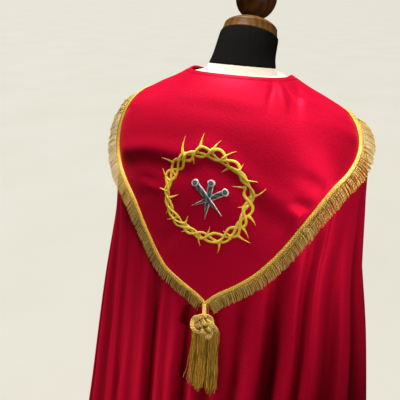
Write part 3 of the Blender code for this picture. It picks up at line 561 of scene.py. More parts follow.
# --------------------------------------------------------------- materials
class Finish:
    """A Principled material with short ways to add its nodes."""

    def __init__(self, name, colour, roughness, metallic=0.0, **values):
        self.material = bpy.data.materials.new(name)
        self.material.use_nodes = True
        self.tree = self.material.node_tree
        self.shader = self.tree.nodes["Principled BSDF"]
        self.shader.inputs["Base Color"].default_value = (*colour, 1.0)
        self.shader.inputs["Roughness"].default_value = roughness
        self.shader.inputs["Metallic"].default_value = metallic
        for socket, value in values.items():
            self.shader.inputs[socket.replace("_", " ")].default_value = value

    def node(self, kind, inputs=None, **values):
        made = self.tree.nodes.new(kind)
        for key, value in values.items():
            setattr(made, key, value)
        for key, value in (inputs or {}).items():
            if isinstance(value, bpy.types.NodeSocket):
                self.tree.links.new(value, made.inputs[key])
            else:
                made.inputs[key].default_value = value
        return made

    def link(self, source, socket):
        self.tree.links.new(source, self.shader.inputs[socket])

    def uv(self, scale=(1.0, 1.0, 1.0), turn=0.0):
        """The cloth's own distances in metres, scaled."""
        found = self.node("ShaderNodeUVMap", uv_map="cloth")
        return self.mapped(found.outputs["UV"], scale, turn)

    def space(self, scale=(1.0, 1.0, 1.0)):
        """Places in the part's frame, in metres, scaled."""
        found = self.node("ShaderNodeTexCoord")
        return self.mapped(found.outputs["Object"], scale)

    def mapped(self, source, scale, turn=0.0):
        made = self.node("ShaderNodeMapping", {"Vector": source, "Scale": scale,
                                               "Rotation": (0, 0, turn)})
        return made.outputs["Vector"]

    def noise(self, vector, scale, detail=3.0, roughness=0.5):
        made = self.node("ShaderNodeTexNoise", {"Vector": vector, "Scale": scale, "Detail": detail,
                                                "Roughness": roughness})
        return made.outputs["Fac"]

    def stripes(self, vector, scale, direction, distortion=0.0):
        made = self.node("ShaderNodeTexWave",
                         {"Vector": vector, "Scale": scale, "Distortion": distortion},
                         wave_type="BANDS", bands_direction=direction, wave_profile="SIN")
        return made.outputs["Fac"]

    def tone(self):
        return self.node("ShaderNodeAttribute", attribute_name="tone").outputs["Fac"]

    def maths(self, operation, a, b=0.0, c=0.0):
        return self.node("ShaderNodeMath", {0: a, 1: b, 2: c}, operation=operation).outputs[0]

    def ramp(self, factor, stops):
        made = self.node("ShaderNodeValToRGB", {"Fac": factor})
        elements = made.color_ramp.elements
        while len(elements) < len(stops):
            elements.new(0.5)
        for element, (place, colour) in zip(elements, stops):
            element.position = place
            element.color = (*colour, 1.0)
        return made.outputs["Color"]

    def blend(self, a, b):
        """One colour multiplied by another."""
        made = self.node("ShaderNodeMix", {0: 1.0, 6: a, 7: b}, data_type="RGBA",
                         blend_type="MULTIPLY")
        return made.outputs[2]

    def colour(self, factor, *stops):
        self.link(self.ramp(factor, stops), "Base Color")

    def relief(self, *layers):
        """Bump from (height, distance, strength), the first layer lowest."""
        normal = None
        for layer in layers:
            normal = self.bump(*layer, normal)
        self.link(normal, "Normal")

    def bump(self, height, distance, strength, below):
        inputs = {"Height": height, "Distance": distance, "Strength": strength}
        if below is not None:
            inputs["Normal"] = below
        return self.node("ShaderNodeBump", inputs).outputs["Normal"]


WHITE = (1.0, 1.0, 1.0)
SATIN_RED = (0.64, 0.004, 0.034)
SATIN_DARK, SATIN_LIGHT = (0.48, 0.003, 0.022), (0.76, 0.006, 0.044)
# painted shade: the satin's colour is multiplied by these in the valleys of its folds, the deepest
# valleys darkest
PAINTED_VALLEY_SHADE, PAINTED_DEEPEST_SHADE = (0.62, 0.55, 0.55), (0.20, 0.14, 0.14)
# gold thread: dark and light shade, how metallic and how rough
FRINGE_GOLD = (0.42, 0.150, 0.010), (1.0, 0.75, 0.22), 0.0, 0.40
SKIRT_GOLD = (0.10, 0.036, 0.002), (0.82, 0.46, 0.060), 0.10, 0.36
CORD_GOLD = (0.36, 0.175, 0.018), (1.0, 0.72, 0.20), 0.05, 0.40
BRAID_SHADES = ((0.2, (0.30, 0.13, 0.010)), (0.6, (1.0, 0.62, 0.060)), (0.95, (1.0, 0.82, 0.28)))
YELLOW_SHADES = ((0.08, (0.25, 0.135, 0.003)), (0.30, (0.62, 0.370, 0.008)),
                 (0.50, (1.0, 0.62, 0.024)), (0.88, (1.0, 0.79, 0.16)))
GREY_SHADES = ((0.10, (0.022, 0.026, 0.025)), (0.42, (0.115, 0.125, 0.118)),
               (0.70, (0.40, 0.43, 0.41)), (0.92, (0.78, 0.80, 0.76)))
STITCH_SCALE = 1500.0     # of the bands that draw the stitches
DARK_WOOD = (0.040, 0.014, 0.004), (0.17, 0.070, 0.017)
LIGHT_WOOD = (0.066, 0.027, 0.006), (0.22, 0.098, 0.020)


def satin_finish():
    """Red satin: fine warp floats, a soft sheen and a slight slub, with painted
    shade that darkens its colour in the valleys of the folds."""
    made = Finish("red_satin", SATIN_RED, 0.42, 0.26, Specular_IOR_Level=0.10,
                  Specular_Tint=(1.0, 0.05, 0.12, 1.0), Anisotropic=0.6,
                  Anisotropic_Rotation=0.25)
    tangent = made.node("ShaderNodeTangent", direction_type="UV_MAP", uv_map="cloth")
    made.link(tangent.outputs["Tangent"], "Tangent")
    grain = made.noise(made.uv(), 330.0, 3.0, 0.7)
    broad = made.noise(made.space(), 5.0, 2.0)
    colour = made.ramp(grain, ((0.30, SATIN_DARK), (0.70, SATIN_LIGHT)))
    shade = made.ramp(broad, ((0.3, (0.93, 0.93, 0.93)), (0.7, WHITE)))
    colour = made.blend(colour, shade)
    # painted shade from the tone, which the panels set from how far each valley goes in
    painted_valley_colour = made.ramp(made.tone(), ((0.0, WHITE), (0.45, PAINTED_VALLEY_SHADE), (1.0, PAINTED_DEEPEST_SHADE)))
    made.link(made.blend(colour, painted_valley_colour), "Base Color")
    warp = made.stripes(made.uv(), 420.0, "X", 1.2)
    floats = made.stripes(made.uv(turn=0.5), 300.0, "Y", 2.0)
    made.relief((warp, 0.00004, 0.5), (floats, 0.00003, 0.5), (grain, 0.00022, 0.5))
    made.link(made.maths("MULTIPLY_ADD", grain, 0.16, 0.36), "Roughness")
    return made.material


def gold_finish(name, dark, light, metallic, roughness):
    """Gold thread: each thread has its own shade, with a twist along it; in the fringe the layer
    behind is darker, as painted shade.
    """
    made = Finish(name, light, roughness, metallic, Specular_IOR_Level=0.20)
    thread = made.uv()
    flecks = made.noise(made.space(), 900.0, 2.0, 0.6)
    shade = made.maths("MULTIPLY_ADD", made.tone(), 0.75, -0.15)
    level = made.maths("MULTIPLY_ADD", flecks, 0.55, shade)
    made.colour(level, (0.12, dark), (0.55, mix_colour(dark, light, 0.7)), (0.85, light))
    twist = made.stripes(made.mapped(thread, (1.0, 500.0, 1.0)), 1.0, "DIAGONAL")
    made.relief((twist, 0.00012, 0.6))
    return made.material


def mix_colour(a, b, share):
    return tuple(mix(p, q, share) for p, q in zip(a, b))


def braid_finish():
    """Woven gold braid: the relief is real, the threads are bump, and the tone paints highlight on
    its raised parts and shade in its hollows.
    """
    made = Finish("gold_braid", (0.84, 0.56, 0.10), 0.38, 0.10)
    flecks = made.noise(made.space(), 430.0, 2.0)
    level = made.maths("MULTIPLY_ADD", flecks, 0.85, made.maths("ADD", made.tone(), -0.16))
    made.colour(level, *BRAID_SHADES)
    made.relief((made.stripes(made.uv(turn=0.8), 900.0, "X"), 0.0001, 0.6))
    return made.material


def embroidery_finish(name, stops):
    """Satin stitch: the tone shades each form, the stitches lie across it."""
    made = Finish(name, stops[-1][1], 0.50, 0.0, Specular_IOR_Level=0.15)
    thread = made.uv(turn=0.45)
    ragged = made.noise(made.uv((400.0, 1600.0, 1.0)), 1.0, 2.0)
    level = made.maths("MULTIPLY_ADD", ragged, 0.36, made.maths("ADD", made.tone(), -0.18))
    made.colour(level, *stops)
    made.relief((made.stripes(thread, STITCH_SCALE, "Y"), 0.00016, 0.8))
    return made.material


def jersey_finish():
    """Matt black jersey with fine ribs and lint."""
    made = Finish("black_jersey", (0.006, 0.006, 0.005), 0.92, Specular_IOR_Level=0.04)
    lint = made.noise(made.space(), 420.0, 3.0, 0.6)
    made.colour(lint, (0.35, (0.004, 0.004, 0.004)), (0.8, (0.011, 0.011, 0.010)))
    ribs = made.stripes(made.uv(), 300.0, "X", 1.0)
    made.relief((ribs, 0.0002, 0.5), (lint, 0.0003, 0.5))
    return made.material


def cotton_finish():
    """Ecru cotton, plain weave."""
    made = Finish("ecru_cotton", (0.84, 0.79, 0.66), 0.85, Sheen_Weight=0.1)
    broad = made.noise(made.space(), 14.0, 3.0)
    made.colour(broad, (0.3, (0.80, 0.75, 0.61)), (0.7, (0.87, 0.83, 0.71)))
    warp, weft = (made.stripes(made.space(), 260.0, way, 0.6) for way in "XZ")
    made.relief((warp, 0.0001, 0.5), (weft, 0.0001, 0.5))
    return made.material


def wood_finish(name, dark, light):
    """Turned, stained and varnished wood with the grain standing upright."""
    made = Finish(name, light, 0.50, Specular_IOR_Level=0.12, Coat_Weight=0.03,
                  Coat_Roughness=0.25)
    place = made.space((1.0, 1.0, 0.10))
    wander = made.noise(place, 26.0, 3.0)
    grain = made.noise(made.space((1.0, 1.0, 0.045)), 330.0, 4.0, 0.6)
    rings = made.node("ShaderNodeTexWave", {"Vector": place, "Scale": 26.0, "Distortion": 5.0,
                                            "Detail": 2.0}, wave_type="RINGS", rings_direction="Z")
    level = made.maths("MULTIPLY", wander, 0.50)
    level = made.maths("MULTIPLY_ADD", rings.outputs["Fac"], 0.22, level)
    level = made.maths("MULTIPLY_ADD", grain, 0.40, level)
    made.colour(level, (0.28, dark), (0.62, mix_colour(dark, light, 0.6)), (0.85, light))
    made.link(made.maths("MULTIPLY_ADD", grain, 0.16, 0.34), "Roughness")
    made.relief((grain, 0.0002, 0.4))
    return made.material


def brass_finish():
    made = Finish("brass", (0.78, 0.56, 0.22), 0.28, 1.0)
    wear = made.noise(made.space(), 160.0, 3.0)
    made.colour(wear, (0.35, (0.62, 0.42, 0.14)), (0.7, (0.84, 0.63, 0.27)))
    made.link(made.maths("MULTIPLY_ADD", wear, 0.25, 0.16), "Roughness")
    made.relief((wear, 0.0001, 0.3))
    return made.material


def sewing_finish():
    """Red sewing thread, a little darker and glossier than the cloth."""
    made = Finish("red_thread", (0.44, 0.004, 0.02), 0.45, Sheen_Weight=0.1)
    fleck = made.noise(made.space(), 900.0, 2.0)
    made.colour(fleck, (0.3, (0.36, 0.003, 0.015)), (0.7, (0.56, 0.008, 0.03)))
    return made.material


# ------------------------------------------------------------------ creases
# Soft troughs and ridges, one by one: angle and ring of the middle, the way
# it runs in degrees from the fall line (positive turns towards the wearer's
# left), half length and half width, and how far it stands out or goes in.
Crease = namedtuple("Crease", "angle ring turn length width depth")
HOOD_CREASES = [Crease(*row) for row in (
    (-53.5, 1.00, -20, 0.020, 0.0050, -0.0022), (-47.0, 1.05, -4, 0.024, 0.0060, 0.0018),
    (-36.0, 1.15, 10, 0.026, 0.0050, -0.0014), (-57.0, 1.45, 24, 0.034, 0.0085, -0.0034),
    (-50.0, 1.50, 20, 0.030, 0.0070, -0.0022), (-60.0, 1.30, -38, 0.030, 0.0075, 0.0020),
    (-69.0, 1.20, -45, 0.022, 0.0060, -0.0018), (72.0, 3.95, 48, 0.045, 0.0080, -0.0020),
    (66.0, 3.55, 50, 0.050, 0.0120, 0.0022), (25.5, 5.33, 70, 0.022, 0.0090, 0.0016),
    (31.0, 5.20, 66, 0.030, 0.0080, -0.0016), (33.0, 5.75, 30, 0.040, 0.0100, -0.0012),
    (-38.8, 5.30, -72, 0.024, 0.0100, -0.0042), (-38.0, 5.66, -60, 0.030, 0.0100, 0.0026),
    (-46.0, 4.90, -50, 0.050, 0.0140, -0.0020), (-20.0, 5.95, -30, 0.060, 0.0160, 0.0014),
    (14.0, 6.20, 30, 0.060, 0.0150, -0.0012), (2.0, 2.10, 88, 0.080, 0.0160, -0.0010),
    (48.0, 1.60, 40, 0.036, 0.0090, -0.0014), (84.0, 2.10, 30, 0.040, 0.0090, -0.0018),
    (-84.0, 2.30, -30, 0.045, 0.0100, -0.0018), (-72.0, 3.70, -45, 0.050, 0.0120, 0.0020),
)]
PANEL_CREASES = [Crease(*row) for row in (
    (18.8, 7.60, 3, 0.120, 0.0085, -0.0026), (8.0, 7.90, 4, 0.130, 0.0160, 0.0030),
    (-24.0, 7.80, 1, 0.190, 0.0200, 0.0060), (-33.0, 7.80, -2, 0.190, 0.0150, -0.0050),
    (-37.5, 8.20, 3, 0.180, 0.0150, 0.0030), (35.0, 8.50, 3, 0.180, 0.0090, -0.0020),
    (48.0, 8.10, 2, 0.160, 0.0080, -0.0026), (66.0, 7.30, -3, 0.150, 0.0090, -0.0028),
    (92.0, 7.80, 4, 0.200, 0.0110, -0.0030), (118.0, 6.80, -2, 0.190, 0.0090, -0.0028),
    (139.0, 8.30, 3, 0.220, 0.0110, -0.0026), (158.0, 7.20, -3, 0.180, 0.0100, -0.0024),
    (150.0, 3.30, 30, 0.050, 0.0090, -0.0022), (120.0, 3.80, -28, 0.060, 0.0100, -0.0026),
    (-62.0, 8.00, 3, 0.170, 0.0090, -0.0028), (-84.0, 7.20, -4, 0.190, 0.0100, -0.0026),
    (-108.0, 8.10, 3, 0.210, 0.0110, -0.0030), (-131.0, 7.00, -3, 0.180, 0.0090, -0.0026),
    (-152.0, 8.50, 2, 0.200, 0.0110, -0.0028), (-148.0, 3.50, -26, 0.055, 0.0090, -0.0022),
    (-118.0, 3.60, 32, 0.055, 0.0100, -0.0024), (5.0, 9.60, 2, 0.240, 0.0120, -0.0030),
    (-20.0, 9.90, -2, 0.220, 0.0110, -0.0026), (75.0, 9.80, 2, 0.230, 0.0130, -0.0032),
    (-95.0, 9.70, -3, 0.240, 0.0130, -0.0030),
)]

# Where the hood turns down below the shoulder blades: angle and ring of the
# line.  The cloth stands a little proud above it and falls in below it.
BLADE_LINE = np.array((
    (-52.0, 6.10), (-43.0, 5.95), (-38.0, 5.75), (-29.0, 5.35), (-21.0, 4.95), (-13.0, 4.40),
    (-6.0, 4.02), (3.0, 3.85), (12.0, 4.20), (23.0, 4.35), (35.0, 4.60), (47.0, 5.05),
    (57.0, 5.40),
))
BLADE_DEPTH = 0.0034
BLADE_WIDTH = 0.40        # in rings
BLADE_MIDDLE, BLADE_END, BLADE_FADE = 3.0, 62.0, 14.0     # degrees


def blade_relief(angle, ring):
    """How far the cloth stands out or in along that line, BLADE_DEPTH at its
    most."""
    line = smooth_table(BLADE_LINE[:, 1:], BLADE_LINE[:, 0], angle)[..., 0]
    x = (ring - line) / BLADE_WIDTH
    fade = smoothstep((BLADE_END - np.abs(angle - BLADE_MIDDLE)) / BLADE_FADE)
    return -BLADE_DEPTH * math.sqrt(2 * math.e) * x * np.exp(-x * x) * fade


CREASE_BEND = 0.18        # how far a crease snakes, in its widths
CREASE_REACH = 0.06       # how far off a crease's own plane it still counts


def crease_relief(creases, angle, ring):
    """How far the creases lift the cloth at each of many places."""
    here = surface(angle, ring)
    total = np.zeros(here.shape[:-1])
    for crease in creases:
        middle = surface(crease.angle, crease.ring)
        by_angle, by_ring = (unit(s) for s in surface_slopes(crease.angle, crease.ring))
        normal = unit(np.cross(by_angle, by_ring))
        fall = unit(by_ring - by_angle * dot(by_ring, by_angle))
        turn = math.radians(crease.turn)
        along = fall * math.cos(turn) + by_angle * math.sin(turn)
        across = np.cross(normal, along)
        away = here - middle
        a, b, n = dot(away, along) / crease.length, dot(away, across), dot(away, normal)
        bend = b + CREASE_BEND * crease.width * np.sin(3.0 * a)
        total += crease.depth * np.exp(
            -a * a - (bend / crease.width) ** 2 - (n / CREASE_REACH) ** 2)
    return total


# ------------------------------------------------------------------- panels
def fold_share(folds, column, ring):
    """Place across a panel, from 0 to 1 or -1 to 1, of a column of its grid."""
    k = np.minimum(column.astype(int), len(folds) - 2)
    drop = ring / HEM_RING
    before = mix(folds[k, 0], folds[k, 1], drop)
    after = mix(folds[k + 1, 0], folds[k + 1, 1], drop)
    return mix(before, after, column - k)


def fold_depth(folds, column, ring):
    """Depth of the valleys between the crests."""
    k = np.minimum(column.astype(int), len(folds) - 2)
    wave = (1 - np.cos(2 * math.pi * (column - k))) / 2
    reach = smoothstep((ring - folds[k, 3]) / (FOLD_FULL_RING - folds[k, 3]))
    return folds[k, 2] * reach * wave ** FOLD_SHARPNESS


def seam_allowance(row):
    """Half the gap between two panels, in degrees."""
    return np.degrees(GAP / 2 / row[..., HALF_WIDTH]) / np.cos(np.radians(row[..., SEAM] / 2))


def back_angle(folds, column, ring):
    row = ring_at(ring)
    return fold_share(folds, column, ring) * (row[..., SEAM] - seam_allowance(row))


def angle_in_front(row, x):
    """Angle at which a ring is x from the middle plane, on the front."""
    return 180.0 - np.degrees(np.arcsin(x / row[..., HALF_WIDTH]))


def front_angle(folds, column, ring):
    row = ring_at(ring)
    edge = angle_in_front(row, row[..., FRONT_GAP])
    return mix(row[..., SEAM] + seam_allowance(row), edge, fold_share(folds, column, ring))


EDGE_ROLL = 0.0007        # a sewn edge turns in by this
EDGE_ROLL_WIDTH = 0.0025
FOLD_SHADE_DEPTH = 0.018   # a valley of this depth gets the darkest painted shade
HEM_DEPTH = 0.030         # turned-up hem
HEM_STEP = 0.0005         # and how much prouder the doubled cloth stands
HEM_RAMP = 0.0015
DENSE_ROWS, DENSE_END = 24, 4.0     # closer rows down to this ring
HOOD_PRESS = 0.6          # rings past its edge to which the hood holds the cloth down


def edge_roll(uvs):
    """How far the cloth turns in towards its sewn side edges."""
    u = uvs[..., 0]
    left, right = u - u[:, :1], u[:, -1:] - u
    near = np.minimum(left, right) / EDGE_ROLL_WIDTH
    return -EDGE_ROLL * np.exp(-near * near)


def make_panel(name, folds, angle_of, side, finish, rows=150, per_fold=14):
    """One panel of the cope, with its folds, creases, hem and rolled edges."""
    count = (len(folds) - 1) * per_fold
    column = np.arange(count + 1)[None, :] / per_fold
    upper = np.linspace(PANEL_TOP, DENSE_END, DENSE_ROWS)[:-1]
    lower = np.linspace(DENSE_END, HEM_RING, rows - len(upper))
    ring = np.concatenate([upper, lower])[:, None]
    column, ring = np.broadcast_arrays(column, ring)
    angle = side * angle_of(folds, column, ring)
    depth = fold_depth(folds, column, ring)
    outer = lifted(angle, ring, -depth)
    relief = (crease_relief(PANEL_CREASES, angle, ring) + crease_relief(HOOD_CREASES, angle, ring)
              + blade_relief(angle, ring))
    under_hood = smoothstep((hood_ring(angle) + HOOD_PRESS - ring) / 0.5)
    under_hood = under_hood * (np.abs(angle) < HOOD_END)
    relief = mix(relief, np.minimum(relief, 0) * 1.2, under_hood)
    uvs = cloth_uvs(outer)
    from_hem = uvs[..., 1] - uvs[-1:, :, 1]
    hem = HEM_STEP * smoothstep((HEM_DEPTH - from_hem) / HEM_RAMP)
    relief = relief + edge_roll(uvs) + hem
    outer = lifted(angle, ring, relief - depth)
    inner = lifted(angle, ring, np.minimum(relief, relief - hem) - depth - CLOTH_WALL)
    # the tone carries painted shade: the deeper a valley, the darker its colour
    piece = walled(name, outer, inner, tones=np.clip(depth / FOLD_SHADE_DEPTH, 0, 1))
    return finish_piece(piece, finish, "red_satin", name.replace("_cloth", ""))


# --------------------------------------------------------------------- hood
def hood_relief(angle, ring):
    """Relief of the hood's face, kept clear of the cope below it."""
    relief = crease_relief(HOOD_CREASES, angle, ring) + blade_relief(angle, ring)
    towards_edge = smoothstep((hood_ring(angle) - ring) / 0.35)
    return relief * towards_edge


def make_hood(finish, columns=270, rows=112):
    """The hood's cloth, with its edge held under the braid."""
    end = HOOD_END - HOOD_MARGIN
    angle = np.linspace(-end, end, columns)[None, :]
    share = np.linspace(0, 1, rows)[:, None]
    ring = mix(PANEL_TOP, hood_ring(angle), share)
    angle, ring = np.broadcast_arrays(angle, ring)
    relief = hood_relief(angle, ring)
    reach = BRAID_WIDTH - BRAID_OVERHANG
    sheets = []
    for lift in (HOOD_FACE, HOOD_LIFT):
        grid = lifted(angle, ring, relief + lift)
        edge = beyond_edge(angle[:1], reach, 0.0, lift)
        sheets.append(np.concatenate([grid, edge]))
    piece = walled("hood_cloth", *sheets)
    return finish_piece(piece, finish, "red_satin", "hood")


def stitches(name, paths, finish, pitch, length, width=0.0005):
    """A run of stitches along each path of (points, normals)."""
    found, references = [], []
    for points, normals in paths:
        travelled = lengths_along(points)
        start = np.arange(pitch / 2, travelled[-1] - length, pitch)
        shares = np.linspace(0, 1, 5)
        at = start[:, None] + shares[None] * length
        place, out = (read_along(rows, travelled, at) for rows in (points, normals))
        arch = (np.sin(math.pi * shares) * width * 0.9)[None, :, None]
        found.append(place + out * arch)
        references.append(out)
    radii = width / 2 * np.array([0.6, 1.0, 1.0, 1.0, 0.6])
    piece = tube_object(name, np.concatenate(found), radii[None], 5, np.concatenate(references))
    return finish_piece(piece, finish, "red_satin")


BAND_ROWS = 0.84, 0.16    # where the two rows of stitches lie across the band
BAND_STITCH = 0.0030, 0.0023      # pitch and length
BAND_GROOVE = 0.00045
BAND_PUCKER = 0.00018


def make_neckband(finish, thread):
    """Folded band with a rolled top edge and two rows of stitching."""
    end = angle_in_front(RINGS[0], RINGS[0, FRONT_GAP])
    angle = np.linspace(-end, end, 300)[None, :]
    share = np.linspace(0, 1, 15)[:, None]
    ring = share * NECKBAND_RINGS
    crown = np.sqrt(np.clip(1 - (2 * share - 1) ** 4, 0, 1))
    from_row = share - BAND_ROWS[0]
    pucker = BAND_PUCKER * np.sin(np.radians(angle) * 95.0) * np.exp(-(from_row / 0.12) ** 2)
    groove = -BAND_GROOVE * np.exp(-(from_row / 0.05) ** 2)
    outer_lift = mix(0.0006, NECKBAND_OUT, crown) + groove + pucker
    inner_lift = mix(-0.0001, -NECKBAND_IN, crown) + 0 * angle
    outer, inner = lifted(angle, ring, outer_lift), lifted(angle, ring, inner_lift)
    finish_piece(walled("neckband_cloth", outer, inner), finish, "red_satin", "neckband")
    line = np.linspace(-end + 1, end - 1, 1200)
    paths = []
    for place, sunk in zip(BAND_ROWS, (0.0006, 0.0003)):
        at = np.full_like(line, place * NECKBAND_RINGS)
        paths.append((lifted(line, at, NECKBAND_OUT - sunk), surface_normal(line, at)))
    stitches("neckband_stitches", paths, thread, *BAND_STITCH)


# ------------------------------------------------------------------- fringe
def braid_point(angle, share, lift):
    """Point of the braid's face: share runs from its inner to its outer
    edge, lift stands over the braid's own top."""
    inner = beyond_edge(angle, 0.0, 0.0, BRAID_FOOT + lift)
    outer = beyond_edge(angle, BRAID_WIDTH, 0.0, BRAID_FOOT + BRAID_WALL + lift)
    return mix(inner, outer, share[..., None])


BRAID_LINES = 4
BRAID_PITCH = 0.0052      # of the slanting knots along each line
BRAID_RIDGE = 0.00075
BRAID_EDGE = 0.0010       # height of its corded edges
BRAID_EDGE_PITCH = 0.0034
BRAID_SUNK = 0.0008       # its back lies this far below the part's braid face
BRAID_SHADE = 0.50        # the outer half's tone is lower by this


def make_braid(finish, columns=2600, rows=15):
    """Woven heading: four lines of slanting knots between two corded edges."""
    angle, length = outline_places(columns)
    travelled = np.linspace(0, length, columns)[None]
    share = np.linspace(0.0, 1.0, rows)[:, None]
    across = share * BRAID_LINES
    line = np.minimum(np.floor(across), BRAID_LINES - 1)
    within = across - line
    slant = np.where(line % 2 == 0, 1.0, -1.0)
    phase = travelled / BRAID_PITCH + slant * within * 0.5
    ridge = np.abs(np.sin(math.pi * phase)) ** 1.5
    ridge = ridge * np.sin(math.pi * np.clip(within, 0.04, 0.96)) ** 0.5
    edge = np.maximum(1 - np.abs(share - 0.05) / 0.07, 1 - np.abs(share - 0.95) / 0.07)
    cord = 0.62 + 0.38 * np.sin(2 * math.pi * travelled / BRAID_EDGE_PITCH)
    height = np.maximum(ridge * BRAID_RIDGE, np.clip(edge, 0, 1) * cord * BRAID_EDGE)
    outer = braid_point(angle[None], share, height)
    inner = braid_point(angle[None], share, -BRAID_SUNK)
    # painted highlight and shade: the tone rises with the relief's height; the outer half gets a
    # lower tone
    tones = -0.10 + height / BRAID_EDGE * 1.1 - BRAID_SHADE * smoothstep((share - 0.52) / 0.2)
    piece = walled("braid_heading", outer, inner, 80.0, np.clip(tones, 0, 1))
    return finish_piece(piece, finish, "gold_thread")


LOCK_PITCH = 0.0041       # of the locks along the hood's edge
LOCK_GATHER = 0.86        # how far a lock's threads close up at their tips
LOCK_WANDER = 0.0004      # how far a whole lock strays, and how its cut varies
LOCK_UNEVEN = 0.0009
THREAD_STRAY = 0.0005     # the same for each thread
THREAD_UNEVEN = 0.0007
THREAD_BULGE = 0.0007     # how far a thread bows out or in
THREAD_RADII = 0.00049 * np.array([1.0, 1.0, 1.05, 1.0, 1.0, 0.95, 0.8])
THREAD_TWIST = 900.0      # radians in a metre
THREAD_START = BRAID_WIDTH * 0.75
FRINGE_MARGIN = 0.6       # degrees
LIGHT_TONE, DARK_TONE, TONE_SPREAD = 0.98, 0.16, 0.10
LIGHT_SHARE, PAINTED_SHADE_BEHIND = 0.84, 0.40      # share of light threads in the front layer, and how much of that share the layer behind loses, as painted shade


def make_fringe(finish, layers=2, threads=1560):
    """Cut threads below the heading: each hangs from the braid, gathers with
    its neighbours into a ragged lock, and sags towards plumb."""
    rng = np.random.default_rng(11)
    paths, tones, references = [], [], []
    t = np.linspace(0, 1, len(THREAD_RADII))[None, :]
    limit = HOOD_END - FRINGE_MARGIN
    locks = int(outline_places(10)[1] / LOCK_PITCH) + 3
    lock_wander = rng.normal(0, 0.9, locks)
    lock_size = rng.normal(0, LOCK_UNEVEN, locks)

    def each(low, high):
        return rng.uniform(low, high, (threads, 1))

    for layer in range(layers):
        angle, length = outline_places(threads, 0.5 * layer)
        travelled = (np.arange(threads) + 0.5 + 0.5 * layer) * length / threads
        place = (travelled / LOCK_PITCH + 0.30 * np.sin(travelled * 173.0)
                 + 0.22 * np.sin(travelled * 71.0))
        lock = np.floor(place).astype(int)
        gather = (lock + 0.5 - place) * LOCK_PITCH * LOCK_GATHER + lock_wander[lock] * LOCK_WANDER
        by_angle, _ = surface_slopes(angle, hood_ring(angle))
        per_metre = 1.0 / np.linalg.norm(edge_chord(angle), axis=-1)
        drift = gather[:, None] * t ** 0.7 + rng.normal(0, THREAD_STRAY, (threads, 1)) * np.sin(
            math.pi * t * each(0.6, 1.5) + each(0, 3))
        at = np.clip(angle[:, None] + drift * per_metre[:, None], -limit, limit)
        cut = FRINGE_DROP + lock_size[lock] + rng.normal(0, THREAD_UNEVEN, threads)
        drop = THREAD_START + (BRAID_WIDTH - THREAD_START + cut)[:, None] * t
        lean = FRINGE_LEAN * (0.35 + 0.75 * t ** 0.8) * t ** 0.5 * each(0.75, 1.25)
        root = BRAID_FOOT + 0.0004 - 0.0004 * layer
        tip = mix(LOCK_UNDER, LOCK_TOP, each(-0.1, 1.25)) + 0.0004 - 0.0007 * layer
        lift = mix(root, tip, smoothstep(t * 1.2))
        lift = lift + THREAD_BULGE * np.sin(math.pi * t) * each(-0.6, 1.0)
        paths.append(beyond_edge(at, drop, lean, lift))
        references.append(np.broadcast_to(unit(by_angle)[:, None], paths[-1].shape))
        # threads are light or dark at random; the layer behind gets fewer light ones, which is
        # painted shade
        bright = rng.uniform(0, 1, threads) < LIGHT_SHARE - PAINTED_SHADE_BEHIND * layer
        tone = np.where(bright, LIGHT_TONE, DARK_TONE) + rng.normal(0, TONE_SPREAD, threads)
        tones.append(np.clip(tone, 0, 1))
    piece = tube_object("fringe_threads", np.concatenate(paths), THREAD_RADII[None], 4,
                        np.concatenate(references), np.concatenate(tones), twist=THREAD_TWIST)
    return finish_piece(piece, finish, "gold_thread", "hood_fringe")


# ------------------------------------------------------------------- tassel
def hanging_ring(angle, z):
    """Ring numbers below the hood's tip whose points lie at heights."""
    angle, z = np.broadcast_arrays(np.asarray(angle, float), np.asarray(z, float))
    low, high = np.full(z.shape, 6.0), np.full(z.shape, float(HEM_RING))
    for _ in range(16):
        middle = (low + high) / 2
        above = surface(angle, middle)[..., 2] > z
        low, high = np.where(above, middle, low), np.where(above, high, middle)
    return low


def tassel_angle(z):
    """Angle at which the tassel hangs at a height: it leans a little."""
    return mix(TASSEL_FOOT_ANGLE, TASSEL_ANGLE, (z - SKIRT_BOTTOM_Z) / (KNOT_Z - SKIRT_BOTTOM_Z))


def hanging_place(angle, z, lift):
    """Points a lift off the cloth, at angles and heights."""
    return lifted(angle, hanging_ring(angle, z), lift)


def tassel_frame(z, lift):
    """Across, up and out directions on the cloth, and the place, at a height."""
    here, above, below = (hanging_place(tassel_angle(at), at, lift)
                          for at in (z, z + 0.02, z - 0.02))
    up = unit(above - below)
    across = np.array((-1.0, 0.0, 0.0))
    across = unit(across - up * dot(across, up))
    return across, up, np.cross(across, up), here


def at_frame(frame_of, x, y, z):
    """Points at distances across, up and out in a tassel frame."""
    across, up, out, here = frame_of
    x, y, z = (np.asarray(v, float)[..., None] for v in (x, y, z))
    return here + across * x + up * y + out * z


CORD_APART = 0.0021       # half the distance between the two cords
CORD_PLY = 0.0068, 0.0010         # pitch of its plies and how far out they wind
CORD_PLY_RADIUS = 0.00115
KNOT_APART = 0.0030
KNOT_PLY = 0.0056, 0.00078
KNOT_PLY_RADIUS = 0.00096


def make_cord(finish):
    """Two twisted cords side by side, from under the braid to the knot."""
    low = KNOT_Z + KNOT_RADIUS + KNOT_SWING - 0.002
    share = np.linspace(0, 1, 60)
    angle = mix(TIP_ANGLE, TASSEL_ANGLE, share)
    z = mix(CORD_TOP_Z, low, share)
    middle = hanging_place(angle, z, mix(CORD_TOP_LIFT, KNOT_LIFT, smoothstep(share)))
    out = surface_normal(angle, hanging_ring(angle, z))
    aside = unit(np.cross(np.gradient(middle, axis=0), out)) * CORD_APART
    found = np.concatenate([plies(middle + aside * side, 2, *CORD_PLY, out, phase)
                            for side, phase in ((-1, 0.0), (1, 1.6))])
    piece = tube_object("cord_twist", found, CORD_PLY_RADIUS, 7,
                        np.broadcast_to(out, found.shape), np.array([0.75, 0.55, 0.70, 0.50]))
    return finish_piece(piece, finish, "gold_thread", "tassel_cord")


